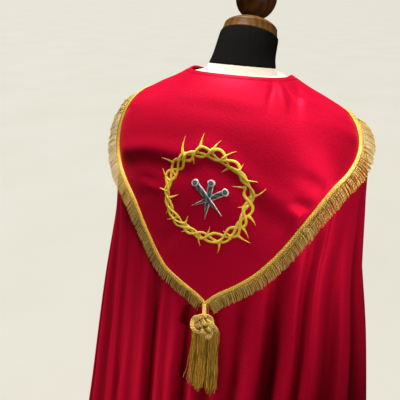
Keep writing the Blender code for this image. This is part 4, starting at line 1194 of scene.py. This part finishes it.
def make_knot(finish):
    """Button knot, three leads by four bights, tied from a tripled cord."""
    frame_of = tassel_frame(KNOT_Z, KNOT_LIFT)
    t = np.linspace(0, 2 * math.pi, 720, endpoint=False)
    radius = KNOT_RADIUS + KNOT_SWING * np.cos(KNOT_BIGHTS * t)
    turn = KNOT_LEADS * t + math.pi / 2
    over = KNOT_WEAVE * 0.92 * np.sin(2 * KNOT_BIGHTS * t)
    middle = np.stack([radius * np.cos(turn), radius * np.sin(turn), over], -1)
    aside = unit(np.cross(directions(middle, True), (0.0, 0.0, 1.0)))
    found, tones = [], []
    for side in (-1.0, 0.0, 1.0):
        path = at_frame(frame_of, *(middle + aside * side * KNOT_APART).T)
        found.append(plies(resampled(path, 760), 2, *KNOT_PLY, frame_of[2], side, True))
        tones += [0.92 - 0.08 * abs(side), 0.34]
    found = np.concatenate(found)
    reference = np.broadcast_to(frame_of[2], found.shape)
    piece = tube_object("knot_cords", found, KNOT_PLY_RADIUS, 6, reference, tones, closed=True)
    return finish_piece(piece, finish, "gold_thread", "tassel_knot")


SKIRT_TOP_Z = HEAD_TOP_Z - 0.002
SKIRT_CUT_Z = SKIRT_BOTTOM_Z - 0.003
SKIRT_UNEVEN = 0.0042
SKIRT_RADIUS = 0.00062
SKIRT_TWIST = 500.0       # radians in a metre
BUNCHES = 24              # groups of threads that wave together
BUNCH_WAVE, STRAND_WAVE, CLUMP = 0.0011, 0.0009, 0.0016
STRAYS = 16


def make_skirt(finish, threads=620, places=14):
    """The skirt's threads, hung from the head in waving bunches, with a few
    that stray."""
    rng = np.random.default_rng(5)
    top = tassel_frame(SKIRT_TOP_Z, HEAD_LIFT)
    t = np.linspace(0, 1, places)[None, :]

    def each(low, high, count=threads):
        return rng.uniform(low, high, count)

    share = each(-1, 1)
    face = rng.choice([-1.0, 1.0, 1.0, 1.0], threads)
    depth = face * np.sqrt(1 - share ** 2) * each(0.45, 1.0)
    fall = SKIRT_TOP_Z - (SKIRT_CUT_Z + rng.normal(0, SKIRT_UNEVEN, threads)
                          + 0.006 * np.sin(share * 7.0 + 1.0))
    gather = 0.84 + 0.16 * smoothstep(t * 5) - 0.05 * np.sin(math.pi * np.clip(t * 1.4, 0, 1))
    spread = gather * mix(1.0, 1.05, t ** 2)
    bunch = np.floor((share + 1) * 11.0).astype(int)
    bunch_turns = each(1.6, 4.2, BUNCHES)[bunch][:, None]
    bunch_phase = each(0, 1, BUNCHES)[bunch][:, None]
    wave = rng.normal(0, STRAND_WAVE, (threads, 1)) * np.sin(2 * math.pi * (
        t * each(0.8, 3.4, (threads, 1)) + each(0, 1, (threads, 1)))) * t ** 0.6
    wave = wave + BUNCH_WAVE * np.sin(2 * math.pi * (t * bunch_turns + bunch_phase)) * t ** 0.5
    stray = np.zeros(threads)
    loose = rng.choice(threads, STRAYS, replace=False)
    stray[loose] = each(0.004, 0.013, STRAYS) * np.where(each(0, 1, STRAYS) < 0.8, -1, 1)
    clump = CLUMP * np.sin(share * 23.0 + 1.3)[:, None] * t ** 1.5
    x = share[:, None] * HEAD_WIDTH / 2 * spread + wave + clump + stray[:, None] * t ** 2.2
    z = depth[:, None] * HEAD_THICK / 2 * mix(0.92, 1.25, t) + 0.0015 * t + wave * 0.5
    y = -fall[:, None] * t
    height = SKIRT_TOP_Z + y
    bend = hanging_place(tassel_angle(height), height, HEAD_LIFT)
    straight = at_frame(top, np.zeros_like(y), y, np.zeros_like(y))
    paths = at_frame(top, x, y, z) + (bend - straight)
    radii = SKIRT_RADIUS * np.linspace(1.0, 0.85, places)[None, :]
    tones = np.where(each(0, 1) < 0.45, 0.80, 0.22) + rng.normal(0, TONE_SPREAD, threads)
    piece = tube_object("skirt_threads", paths, radii, 4, top[2], np.clip(tones, 0, 1),
                        twist=SKIRT_TWIST)
    return finish_piece(piece, finish, "gold_thread", "tassel_skirt")


HEAD_TONE = 0.35


def make_tassel_head(finish, rows=24, sides=40):
    """Threads laid over the flat head and wound round it, behind the knot."""
    share = np.linspace(0, 1, rows)
    turn = 2 * math.pi * np.arange(sides) / sides
    found = []
    for at, z in zip(share, mix(HEAD_TOP_Z, HEAD_BOTTOM_Z, share)):
        end = math.sqrt(max(0.0, 1 - ((at - 0.5) * 2) ** 6))
        swell = mix(0.80, 0.97, float(smoothstep(at * 1.4))) * mix(0.72, 1.0, end)
        wound = 1.0 + 0.03 * math.sin(at * 60)
        x = np.cos(turn) * HEAD_WIDTH / 2 * swell * wound
        out = np.sin(turn) * (HEAD_THICK / 2 - 0.0008) * end * wound
        found.append(at_frame(tassel_frame(float(z), HEAD_LIFT), x, np.zeros(sides), out))
    points = np.array(found).reshape(-1, 3)
    faces = facing_out(points, grid_quads(rows, sides, closed=True), end_fans(rows, sides))
    tones = np.full(len(points), HEAD_TONE)
    uvs = np.stack([np.tile(turn * 0.01, rows), np.repeat(share * 0.03, sides)], -1)
    piece = mesh_object("tassel_head", points, *faces, uvs, tones, 50.0)
    return finish_piece(piece, finish, "gold_thread")


# --------------------------------------------------------------- embroidery
EMBLEM_ANGLE = 0.75
EMBLEM_RING = 5.06
CROWN_RADIUS = 0.0800     # middle of the plaited branches
CROWN_SWING = 0.0074      # how far a branch swings in and out
CROWN_TURNS = 7           # swings in one round
BRANCHES = 3
BRANCH_WIDTH = 0.0052
THORN_REACH = 1.12        # times its length in the table
THORN_WIDTH = 0.0062      # at its foot
THORN_ROOT = 0.0016       # how far it starts inside its branch, and how far
                          # the branch juts out there
STITCH_RISE = 0.0007      # height of a band of stitches at its middle

# A thorn: where it grows (degrees, clockwise from the top), which branch,
# outwards (1) or inwards (-1), its length, and how far its point is swept
# round, in degrees.
Thorn = namedtuple("Thorn", "place branch way length sweep")
THORNS = [Thorn(*row) for row in (
    (4, 0, 1, 0.017, 24), (17, 2, 1, 0.024, 30), (31, 1, -1, 0.015, -26),
    (44, 0, 1, 0.015, -16), (57, 2, 1, 0.021, 22), (66, 1, -1, 0.019, -30),
    (80, 0, 1, 0.025, -24), (93, 2, -1, 0.013, 18), (104, 1, 1, 0.016, 30),
    (121, 0, 1, 0.019, 20), (133, 2, 1, 0.022, -14), (141, 1, -1, 0.014, 26),
    (158, 0, 1, 0.021, 18), (173, 2, -1, 0.017, -28), (187, 1, 1, 0.022, -16),
    (203, 0, 1, 0.016, 26), (211, 2, -1, 0.016, 22), (226, 1, 1, 0.023, 14),
    (243, 0, 1, 0.017, -26), (256, 2, -1, 0.020, 24), (266, 1, 1, 0.015, 10),
    (281, 0, 1, 0.022, 30), (296, 2, -1, 0.014, -22), (305, 1, 1, 0.020, -20),
    (325, 0, 1, 0.025, 26), (338, 2, -1, 0.018, -20), (349, 1, 1, 0.021, 12),
)]
# A nail: the way its point goes, in degrees from straight down (positive to
# the viewer's left), its length, the share of it above the crossing, and how
# high it lies.
Nail = namedtuple("Nail", "turn length above lift")
NAILS = (
    Nail(58.0, 0.073, 0.49, 0.0001),
    Nail(6.0, 0.072, 0.44, 0.0007),
    Nail(-46.0, 0.077, 0.50, 0.0013),
)
NAIL_CROSSING = (0.0060, -0.0020)
NAIL_WIDTH = 0.0108
NAIL_HEAD = 0.0066        # half its width
NAIL_HEAD_HEIGHT = 0.0118
NAIL_TAPER = 0.45         # share of its length from which it tapers
LIGHT_FROM = np.array((-0.45, 0.89))   # the shading that the stitches draw


def emblem_frame():
    """Middle of the emblem on the hood, and its right and up directions."""
    centre = surface(EMBLEM_ANGLE, EMBLEM_RING)
    normal = surface_normal(EMBLEM_ANGLE, EMBLEM_RING)
    up = np.array((0.0, 0.0, 1.0))
    up = unit(up - normal * dot(up, normal))
    return centre, np.cross(up, normal), up


def on_hood(x, y, lift):
    """Points of the hood's face over flat places round the emblem's middle:
    x to the viewer's right and y up, in metres."""
    centre, right, up = emblem_frame()
    x, y = np.broadcast_arrays(np.asarray(x, float), np.asarray(y, float))
    angle, ring = np.full(x.shape, EMBLEM_ANGLE), np.full(x.shape, EMBLEM_RING)
    for _ in range(8):
        away = surface(angle, ring) - centre
        miss_x, miss_y = x - dot(away, right), y - dot(away, up)
        by_angle, by_ring = surface_slopes(angle, ring)
        ax, ay = dot(by_angle, right), dot(by_angle, up)
        rx, ry = dot(by_ring, right), dot(by_ring, up)
        det = ax * ry - ay * rx
        angle = angle + (miss_x * ry - miss_y * rx) / det
        ring = ring + (ax * miss_y - ay * miss_x) / det
    return lifted(angle, ring, hood_relief(angle, ring) + HOOD_FACE + lift)


RIBBON_FOOT = 0.00002     # a band's edges stand this far off the hood


def ribbon(line, widths, lifts, crown, tone_of, closed=False, across=7):
    """Raised, closed band of stitches along a flat line (x, y): points,
    quads, triangles, uvs and tones."""
    way = directions(line, closed)
    aside = np.stack([-way[:, 1], way[:, 0]], -1)
    travelled = lengths_along(line)
    s = np.linspace(-1, 1, across)
    flat = line[:, None] + aside[:, None] * (s[None, :] * widths[:, None] / 2)[..., None]
    arch = crown * np.sqrt(np.clip(1 - s ** 2, 0, 1))[None]
    height = lifts[:, None] + arch * np.minimum(1.0, widths / 0.003)[:, None]
    edges = flat[:, ::across - 1]
    upper = on_hood(flat[..., 0], flat[..., 1], height)
    lower = on_hood(edges[..., 0], edges[..., 1], np.full((len(line), 2), RIBBON_FOOT))
    loop = np.concatenate([upper, lower[:, ::-1]], 1)
    count = across + 2
    points = loop.reshape(-1, 3)
    quads = grid_quads(len(line), count, closed=True)
    triangles = NO_TRIANGLES if closed else end_fans(len(line), count)
    if closed:
        quads = np.concatenate([quads, closing_quads(len(line), count)])
    tone = tone_of(s[None, :], aside[:, None, :], travelled[:, None])
    tone = np.concatenate([tone, tone[:, [-1]], tone[:, [0]]], 1)
    u = np.concatenate([s, s[[-1]], s[[0]]])[None] * widths[:, None] / 2
    uvs = np.stack([u, np.broadcast_to(travelled[:, None], u.shape)], -1)
    return points, quads, triangles, uvs.reshape(-1, 2), tone.ravel()


def joined(name, parts):
    """One object from several (points, quads, triangles, uvs, tones)."""
    turned_out, start = [], 0
    for points, quads, triangles, uvs, tones in parts:
        quads, triangles = facing_out(points, quads, triangles)
        turned_out.append((points, quads + start, triangles + start, uvs, tones))
        start += len(points)
    return mesh_object(name, *(np.concatenate(column) for column in zip(*turned_out)), 65.0)


def thorns_of(branch, turn):
    """Each thorn of a branch, with how far round from it the angles lie."""
    for thorn in THORNS:
        if thorn.branch == branch:
            yield thorn, (turn - math.radians(thorn.place) + math.pi) % (2 * math.pi) - math.pi


def winding(branch, turn):
    """Phase of a branch as it winds round the other two."""
    return CROWN_TURNS * turn + branch * 2 * math.pi / BRANCHES


def branch_radius(branch, turn):
    """Distance from the emblem's middle of a branch, at an angle: the
    branches wind round each other, wander, and jut out where a thorn grows."""
    turn = np.asarray(turn, float)
    phase = winding(branch, turn) + 0.55 * np.sin(3 * turn + branch * 1.7)
    uneven = (0.0019 * np.sin(2 * turn + 1.0 + branch * 2.1)
              + 0.0015 * np.sin(5 * turn + branch * 1.3))
    jut = np.zeros_like(turn)
    for thorn, away in thorns_of(branch, turn):
        jut += thorn.way * THORN_ROOT * np.exp(-np.abs(away) / 0.055)
    swing = CROWN_SWING * (1 + 0.22 * np.sin(4 * turn + branch * 2.6))
    return CROWN_RADIUS + swing * np.sin(phase) + uneven + jut


def around(radius, turn):
    """Flat place at a distance and an angle, clockwise from the top."""
    return np.stack([radius * np.sin(turn), radius * np.cos(turn)], -1)


def drawn_tone(low, high=1.0):
    """Shade of a form that its stitches draw as lit from one side."""
    def tone(s, aside, travelled):
        lit = dot(aside, LIGHT_FROM) * s
        return np.clip(mix(low, high, 0.5 + 0.5 * lit) + 0.06 * np.sin(travelled * 700), 0, 1)
    return tone


def make_crown(finish):
    """Crown of thorns: three plaited branches, and thorns that taper out of
    them with a sweep."""
    parts = []
    turn = np.linspace(0, 2 * math.pi, 900, endpoint=False)
    for branch in range(BRANCHES):
        line = around(branch_radius(branch, turn), turn)
        lifts = 0.0005 + 0.00045 * np.cos(winding(branch, turn))
        knobs = np.zeros_like(turn)
        for _, away in thorns_of(branch, turn):
            knobs += np.exp(-(away / 0.05) ** 2)
        widths = BRANCH_WIDTH * (0.94 + 0.42 * knobs + 0.13 * np.sin(9 * turn + branch)
                                 + 0.08 * np.sin(23 * turn + 2 * branch))
        parts.append(ribbon(line, widths, lifts, STITCH_RISE, drawn_tone(0.20), True, 9))
    share = np.linspace(0, 1, 16)
    widths = THORN_WIDTH * (1 - share) ** 1.25 + 0.0005
    for thorn in THORNS:
        start, sweep = math.radians(thorn.place), math.radians(thorn.sweep)
        base = float(branch_radius(thorn.branch, start))
        reach = base + thorn.way * (thorn.length * THORN_REACH * share - THORN_ROOT * (1 - share))
        bend = start + sweep * 0.42 * (share ** 1.6 + 0.35 * share) * thorn.length / 0.02 * 0.5
        parts.append(ribbon(around(reach, bend), widths, np.full(16, 0.0006), STITCH_RISE,
                            drawn_tone(0.26)))
    return finish_piece(joined("crown_stitches", parts), finish, "gold_thread")


def smooth_edge(value, low, high):
    return smoothstep((value - low) / (high - low))


def shank_tone(s, _, travelled):
    """Light edges and streaks along a nail."""
    outline = smooth_edge(np.abs(s), 0.60, 0.92)
    streak = 0.20 * np.sin(s * 11.0 + travelled * 70) + 0.12 * np.sin(travelled * 420 + s * 3)
    return np.clip(0.30 + 0.66 * outline + streak, 0, 1)


def head_tone(s, _, travelled):
    """Light rim of a nail's head, with a dark line inside it."""
    across = travelled / (2 * NAIL_HEAD) * 2 - 1
    far = np.sqrt(np.clip(s * s * 0.9 + across * across, 0, 2))
    rim = smooth_edge(far, 0.62, 0.9)
    ridge = np.exp(-((far - 0.42) / 0.12) ** 2)
    return np.clip(0.48 + 0.50 * rim - 0.34 * ridge + 0.08 * np.sin(travelled * 1500), 0, 1)


def make_nails(finish):
    """Three crossed nails, each a tapering shank and a flat, domed head."""
    parts = []
    share = np.linspace(0, 1, 48)
    taper = np.where(share < NAIL_TAPER, 1 - 0.12 * share / NAIL_TAPER,
                     0.88 * (1 - ((share - NAIL_TAPER) / 0.55) ** 1.25))
    widths = np.maximum(NAIL_WIDTH * taper, 0.0006)
    across = np.linspace(-1, 1, 26)
    head_widths = NAIL_HEAD_HEIGHT * np.sqrt(np.clip(1 - np.abs(across) ** 2.6, 0.004, 1))
    for nail in NAILS:
        turn = math.radians(nail.turn)
        way = np.array((-math.sin(turn), -math.cos(turn)))
        aside = np.array((-way[1], way[0]))
        top = np.array(NAIL_CROSSING) - way * nail.above * nail.length
        line = top + (share * nail.length)[:, None] * way
        parts.append(ribbon(line, widths, np.full(48, 0.0005 + nail.lift), STITCH_RISE,
                            shank_tone, across=13))
        line = (top + way * 0.0005 + aside * (across * NAIL_HEAD)[:, None]
                + way * (0.0016 * across ** 2)[:, None])
        parts.append(ribbon(line, head_widths, np.full(26, 0.0012 + nail.lift), 0.0008,
                            head_tone, across=13))
    return finish_piece(joined("nail_stitches", parts), finish, "red_satin")


# --------------------------------------------------------------- dress form
def tilted_rings(rows, angles):
    """Flat rings from rows of centre y and z, radius and tilt in degrees,
    and the direction in which each tilts."""
    tilt, turn = np.radians(rows[:, 3]), np.radians(angles)
    along = np.stack([np.zeros_like(tilt), np.cos(tilt), np.sin(tilt)], -1)
    spoke = (np.sin(turn)[:, None] * np.array((1.0, 0.0, 0.0))
             + along[:, None] * np.cos(turn)[:, None])
    centre = np.stack([np.zeros_like(tilt), rows[:, 0], rows[:, 1]], -1)
    return centre[:, None] + spoke * rows[:, 2][:, None, None], along


def neck_rings(angles, levels):
    """Rings of the neck's smooth side at places along it."""
    return tilted_rings(smooth_rows(NECK_LEVELS, levels), angles)


def make_neck(finish, sides=160):
    """Jersey sleeve on the neck block, its lower edge a little uneven."""
    angles = np.linspace(0, 360, sides, endpoint=False)
    levels = np.concatenate([np.linspace(0.0, 3.0, 36), np.linspace(3.0, 4.0, 7)[1:]])
    rings, along = neck_rings(angles, levels)
    axis = np.stack([np.zeros(len(levels)), -along[:, 2], along[:, 1]], -1)
    turn = np.radians(angles)
    ragged = (0.0007 * np.sin(turn * 9 + 1) + 0.0005 * np.sin(turn * 23)
              + 0.0004 * np.sin(turn * 41 + 2))
    low = smoothstep(1 - levels / 0.6)[:, None]
    rise = low * np.maximum(ragged[None], -0.0002) + GAP * low
    rings = rings + axis[:, None] * rise[..., None]
    centre = rings.mean(1, keepdims=True)
    edge = np.ones(len(levels))
    edge[0], edge[-1] = 0.992, 0.985
    soft = 1 + 0.004 * np.sin(turn * 3 + 0.5)[None] * np.sin(levels)[:, None]
    rings = centre + (rings - centre) * edge[:, None, None] * soft[..., None]
    u = np.broadcast_to(turn * 0.055, (len(levels), sides))
    v = np.broadcast_to((levels * 0.02)[:, None], (len(levels), sides))
    piece = lofted("neck_jersey", rings, rings[[0, -1]].mean(1), np.stack([u, v], -1))
    return finish_piece(piece, finish, "black_jersey", "form_neck")


TORSO_INSET = -(CLOTH_WALL + 0.0010)
TORSO_SINK = 0.006        # how much deeper it lies below the shoulders


def make_torso(finish, sides=144):
    """Padded torso in its cotton cover, just under the cloth."""
    angles = np.linspace(0, 360, sides, endpoint=False)
    turn = np.radians(angles)
    top, _ = neck_rings(angles, np.array([0.0]))
    rim = top[0]
    behind = smoothstep((np.cos(turn) + NECK_FOOT_END) / NECK_FOOT_FADE)[:, None]
    neck_foot = tilted_rings(NECK_FOOT[None], angles)[0][0]
    foot = mix(lifted(angles, np.zeros(sides), TORSO_INSET), neck_foot, behind)
    rows = [mix(rim, foot, share) for share in (0.0, 0.3, 0.6, 0.85)]
    under = lifted(angles, np.full(sides, NECKBAND_RINGS + 0.05), TORSO_INSET)
    rows += [mix(foot, under, share) for share in (0.0, 0.25, 0.6)]
    for ring in (0.35, 0.8, 1.2, 1.6, 2.0, 2.4, 2.8, 3.2):
        deeper = TORSO_INSET - TORSO_SINK * float(smoothstep((ring - 0.3) / 0.8))
        rows.append(lifted(angles, np.full(sides, ring), deeper))
    levels = np.array(TORSO_LEVELS)
    fine = smooth_rows(levels, np.linspace(0, len(levels) - 1, 40))
    for z, half_width, back, front in fine:
        depth = np.where(np.cos(turn) > 0, back, front)
        x, y = half_width * np.sin(turn), depth * np.cos(turn)
        rows.append(np.stack([x, y, np.full(sides, z)], -1))
    rings = np.array(rows)
    piece = lofted("torso_cover", rings, rings[[0, -1]].mean(1), None, 50.0)
    return finish_piece(piece, finish, "ecru_cotton", "form_torso")


def make_finial(wood, lighter):
    """Turned cap and ball on the neck's axis."""
    y, z, _, tilt = NECK_LEVELS[-1]
    place = Matrix.Translation((0, y, z)) @ Matrix.Rotation(math.radians(tilt), 4, "X")
    cap = profile_curve(CAP_PROFILE[:-1], 8)
    cap = np.concatenate([cap, [CAP_PROFILE[-1]]])
    finish_piece(turned("cap_wood", cap, 96, place), lighter, "turned_wood", "form_cap")
    turns = [math.pi * k / BALL_STEPS for k in range(BALL_STEPS + 1)]
    profile = [(BALL_RADIUS * math.sin(turn), BALL_HEIGHT + BALL_RADIUS * math.cos(turn))
               for turn in turns]
    profile[0], profile[-1] = (0.0, profile[0][1]), (0.0, profile[-1][1])
    finish_piece(turned("ball_wood", profile, 80, place), wood, "turned_wood", "form_ball")


POLE_SOFT = 0.0012        # the pole's rounded ends
BASE_SOFT = 0.008         # the base's rounded upper edge


def make_stand(wood):
    """Pole and round base, turned."""
    low, high, soft, edge = BASE_THICK + GAP, TORSO_LEVELS[-1][0] - GAP, POLE_SOFT, BASE_SOFT
    profile = [(0.0, high), (POLE_RADIUS - soft, high), (POLE_RADIUS, high - soft)]
    profile += [(POLE_RADIUS, z) for z in np.linspace(high - 0.02, low + 0.02, 24)]
    profile += [(POLE_RADIUS, low + soft), (POLE_RADIUS - soft, low), (0.0, low)]
    finish_piece(turned("pole_wood", profile, 40), wood, "turned_wood", "stand_pole")
    profile = [(0.0, BASE_THICK)]
    profile += [(r, BASE_THICK) for r in np.linspace(0.03, BASE_RADIUS - edge - 0.012, 10)]
    for k in range(7):
        turn = math.pi / 2 * k / 6
        profile.append((BASE_RADIUS - edge + edge * math.sin(turn),
                        BASE_THICK - edge + edge * math.cos(turn)))
    profile += [(BASE_RADIUS, 0.002), (BASE_RADIUS - 0.001, 0.0), (0.0, 0.0)]
    finish_piece(turned("base_wood", profile, 128), wood, "turned_wood", "stand_base")


# -------------------------------------------------------------------- clasp
# a plate's face: radius, and depth below its middle
CLASP_FACE = ((0.0, 0.0), (0.004, 0.0001), (0.0075, 0.0007), (0.0084, 0.0013),
              (0.0092, 0.0012), (0.0102, 0.0004), (0.0111, 0.0006), (0.0118, 0.0013))
CLASP_INSET = 0.004       # from the front edge to the plate
HOOK_APART = 0.0019       # half the distance between the hooks' two bars
HOOK_RADIUS = 0.00095


def clasp_place(side):
    """A plate's own frame, flat on the front panel."""
    row = ring_at(CLASP_RING)
    angle = side * angle_in_front(row, row[FRONT_GAP] + CLASP_RADIUS + CLASP_INSET)
    out = Vector(surface_normal(angle, CLASP_RING))
    across = Vector((1, 0, 0))
    across = (across - out * across.dot(out)).normalized()
    place = Matrix((across, out.cross(across), out)).transposed().to_4x4()
    place.translation = Vector(surface(angle, CLASP_RING)) + out * (CLASP_THICK / 2)
    return place


def make_clasp(brass):
    """Two domed, beaded plates and the hooked link between them."""
    ends = []
    half = CLASP_THICK / 2
    profile = [(radius, half - below) for radius, below in CLASP_FACE]
    profile += [(CLASP_RADIUS, -half + 0.0004), (0.0117, -half), (0.0, -half)]
    for side, name in ((1, "clasp_left"), (-1, "clasp_right")):
        plate = turned(name + "_plate", profile, 64, clasp_place(side), sharp=60.0)
        finish_piece(plate, brass, "brass", name)
        ends.append(np.array(clasp_place(side) @ Vector((0, 0, half + 0.0021))))
    reach = unit(ends[0] - ends[1])
    outer = [ends[0] + reach * 0.003, ends[1] - reach * 0.003]
    down = np.array(clasp_place(1).to_3x3().col[1] + clasp_place(-1).to_3x3().col[1])
    out = unit(np.cross((1.0, 0.0, 0.0), down))
    out = -out if out[1] > 0 else out
    line = np.linspace(outer[0], outer[1], 40)
    aside = unit(np.cross(reach, out)) * HOOK_APART
    radii = np.full(40, HOOK_RADIUS)
    radii[[0, -1]] = 0.0005
    bars = np.array([line - aside, line + aside])
    piece = tube_object("clasp_hooks", bars, radii[None], 10, out)
    finish_piece(piece, brass, "brass", "clasp_link")


# ------------------------------------------------------------ stage, lights
FLOOR_HALF = 60.0         # wide enough to fill the photo's background
FLOOR_DROP = 0.0005


def make_stage():
    """Pale floor, hidden from bounced and mirrored rays."""
    finish = Finish("pale_floor", (0.315, 0.316, 0.288), 0.9)
    patch = finish.noise(finish.space(), 1.2, 3.0)
    finish.colour(patch, (0.3, (0.308, 0.309, 0.280)), (0.7, (0.322, 0.323, 0.296)))
    corners = ((-1, -1), (1, -1), (1, 1), (-1, 1))
    points = [(x * FLOOR_HALF, y * FLOOR_HALF, 0) for x, y in corners]
    floor = mesh_object("floor", points, [(0, 1, 2, 3)])
    floor.data.materials.append(finish.material)
    floor.location.z = -FLOOR_DROP
    floor.visible_diffuse = False
    floor.visible_glossy = False


def make_lamp(name, kind, place, towards, power, colour):
    data = bpy.data.lights.new(name, kind)
    data.energy = power
    data.color = colour
    lamp = linked(name, data)
    lamp.location = place
    lamp.rotation_euler = towards.to_track_quat("-Z", "Y").to_euler()
    return lamp


def make_sun(name, towards, strength, spread, colour):
    """Broad, soft light from one direction."""
    towards = Vector(towards)
    lamp = make_lamp(name, "SUN", Vector((0, 0, 3)) - towards, towards, strength, colour)
    lamp.data.angle = math.radians(spread)


def make_area(name, place, aim, size, power, spread, colour):
    """Soft round lamp, kept out of the picture."""
    lamp = make_lamp(name, "AREA", place, Vector(aim) - Vector(place), power, colour)
    lamp.data.shape = "DISK"
    lamp.data.size = size
    lamp.data.spread = math.radians(spread)
    lamp.visible_camera = False


WARM, LAMP_WHITE = (1.0, 0.97, 0.92), (1.0, 0.98, 0.95)
SUN_TOWARDS, SUN_STRENGTH, SUN_SPREAD = (-0.26, 0.13, -1.0), 7.9, 28.0
# soft lamps: place, aim, diameter, power, spread in degrees
KEY_LAMP = (-1.60, 1.25, 1.62), (-0.20, 0.14, 1.24), 0.35, 1.05, 36.0
SIDE_LAMP = (1.28, 1.26, 0.86), (-0.28, 0.2, 0.76), 0.40, 0.40, 31.0
ROOM_STRENGTH = 0.035


def make_lights():
    """Overhead light, a key from the photo's right, a weak fill from its
    left, and a dim room."""
    make_sun("overhead", SUN_TOWARDS, SUN_STRENGTH, SUN_SPREAD, WARM)
    make_area("key", *KEY_LAMP, LAMP_WHITE)
    make_area("side", *SIDE_LAMP, LAMP_WHITE)
    world = bpy.data.worlds.new("soft_room")
    world.use_nodes = True
    background = world.node_tree.nodes["Background"]
    background.inputs["Color"].default_value = (*WARM, 1.0)
    background.inputs["Strength"].default_value = ROOM_STRENGTH
    bpy.context.scene.world = world
    bpy.context.scene.view_settings.view_transform = "Standard"


# --------------------------------------------------------------------- main
def main():
    make_camera()
    satin = satin_finish()
    thread = sewing_finish()
    fringe_gold = gold_finish("gold_fringe", *FRINGE_GOLD)
    skirt_gold = gold_finish("gold_skirt", *SKIRT_GOLD)
    cord_gold = gold_finish("gold_cord", *CORD_GOLD)
    yellow = embroidery_finish("yellow_stitches", YELLOW_SHADES)
    grey = embroidery_finish("grey_stitches", GREY_SHADES)
    jersey, cotton, brass = jersey_finish(), cotton_finish(), brass_finish()
    wood = wood_finish("dark_wood", *DARK_WOOD)
    lighter = wood_finish("light_wood", *LIGHT_WOOD)

    back = make_panel("cope_back_cloth", BACK_FOLDS, back_angle, 1, satin)
    left = make_panel("cope_left_front_cloth", LEFT_FRONT_FOLDS, front_angle, 1, satin)
    right = make_panel("cope_right_front_cloth", RIGHT_FRONT_FOLDS, front_angle, -1, satin)
    hood = make_hood(satin)
    make_neckband(satin, thread)
    braid = make_braid(braid_finish())
    fringe = make_fringe(fringe_gold)
    make_cord(cord_gold)
    make_knot(cord_gold)
    make_tassel_head(skirt_gold)
    make_skirt(skirt_gold)
    make_crown(yellow)
    make_nails(grey)
    make_neck(jersey)
    torso = make_torso(cotton)
    make_finial(wood, lighter)
    make_stand(wood)
    make_clasp(brass)

    make_stage()
    make_lights()


main()
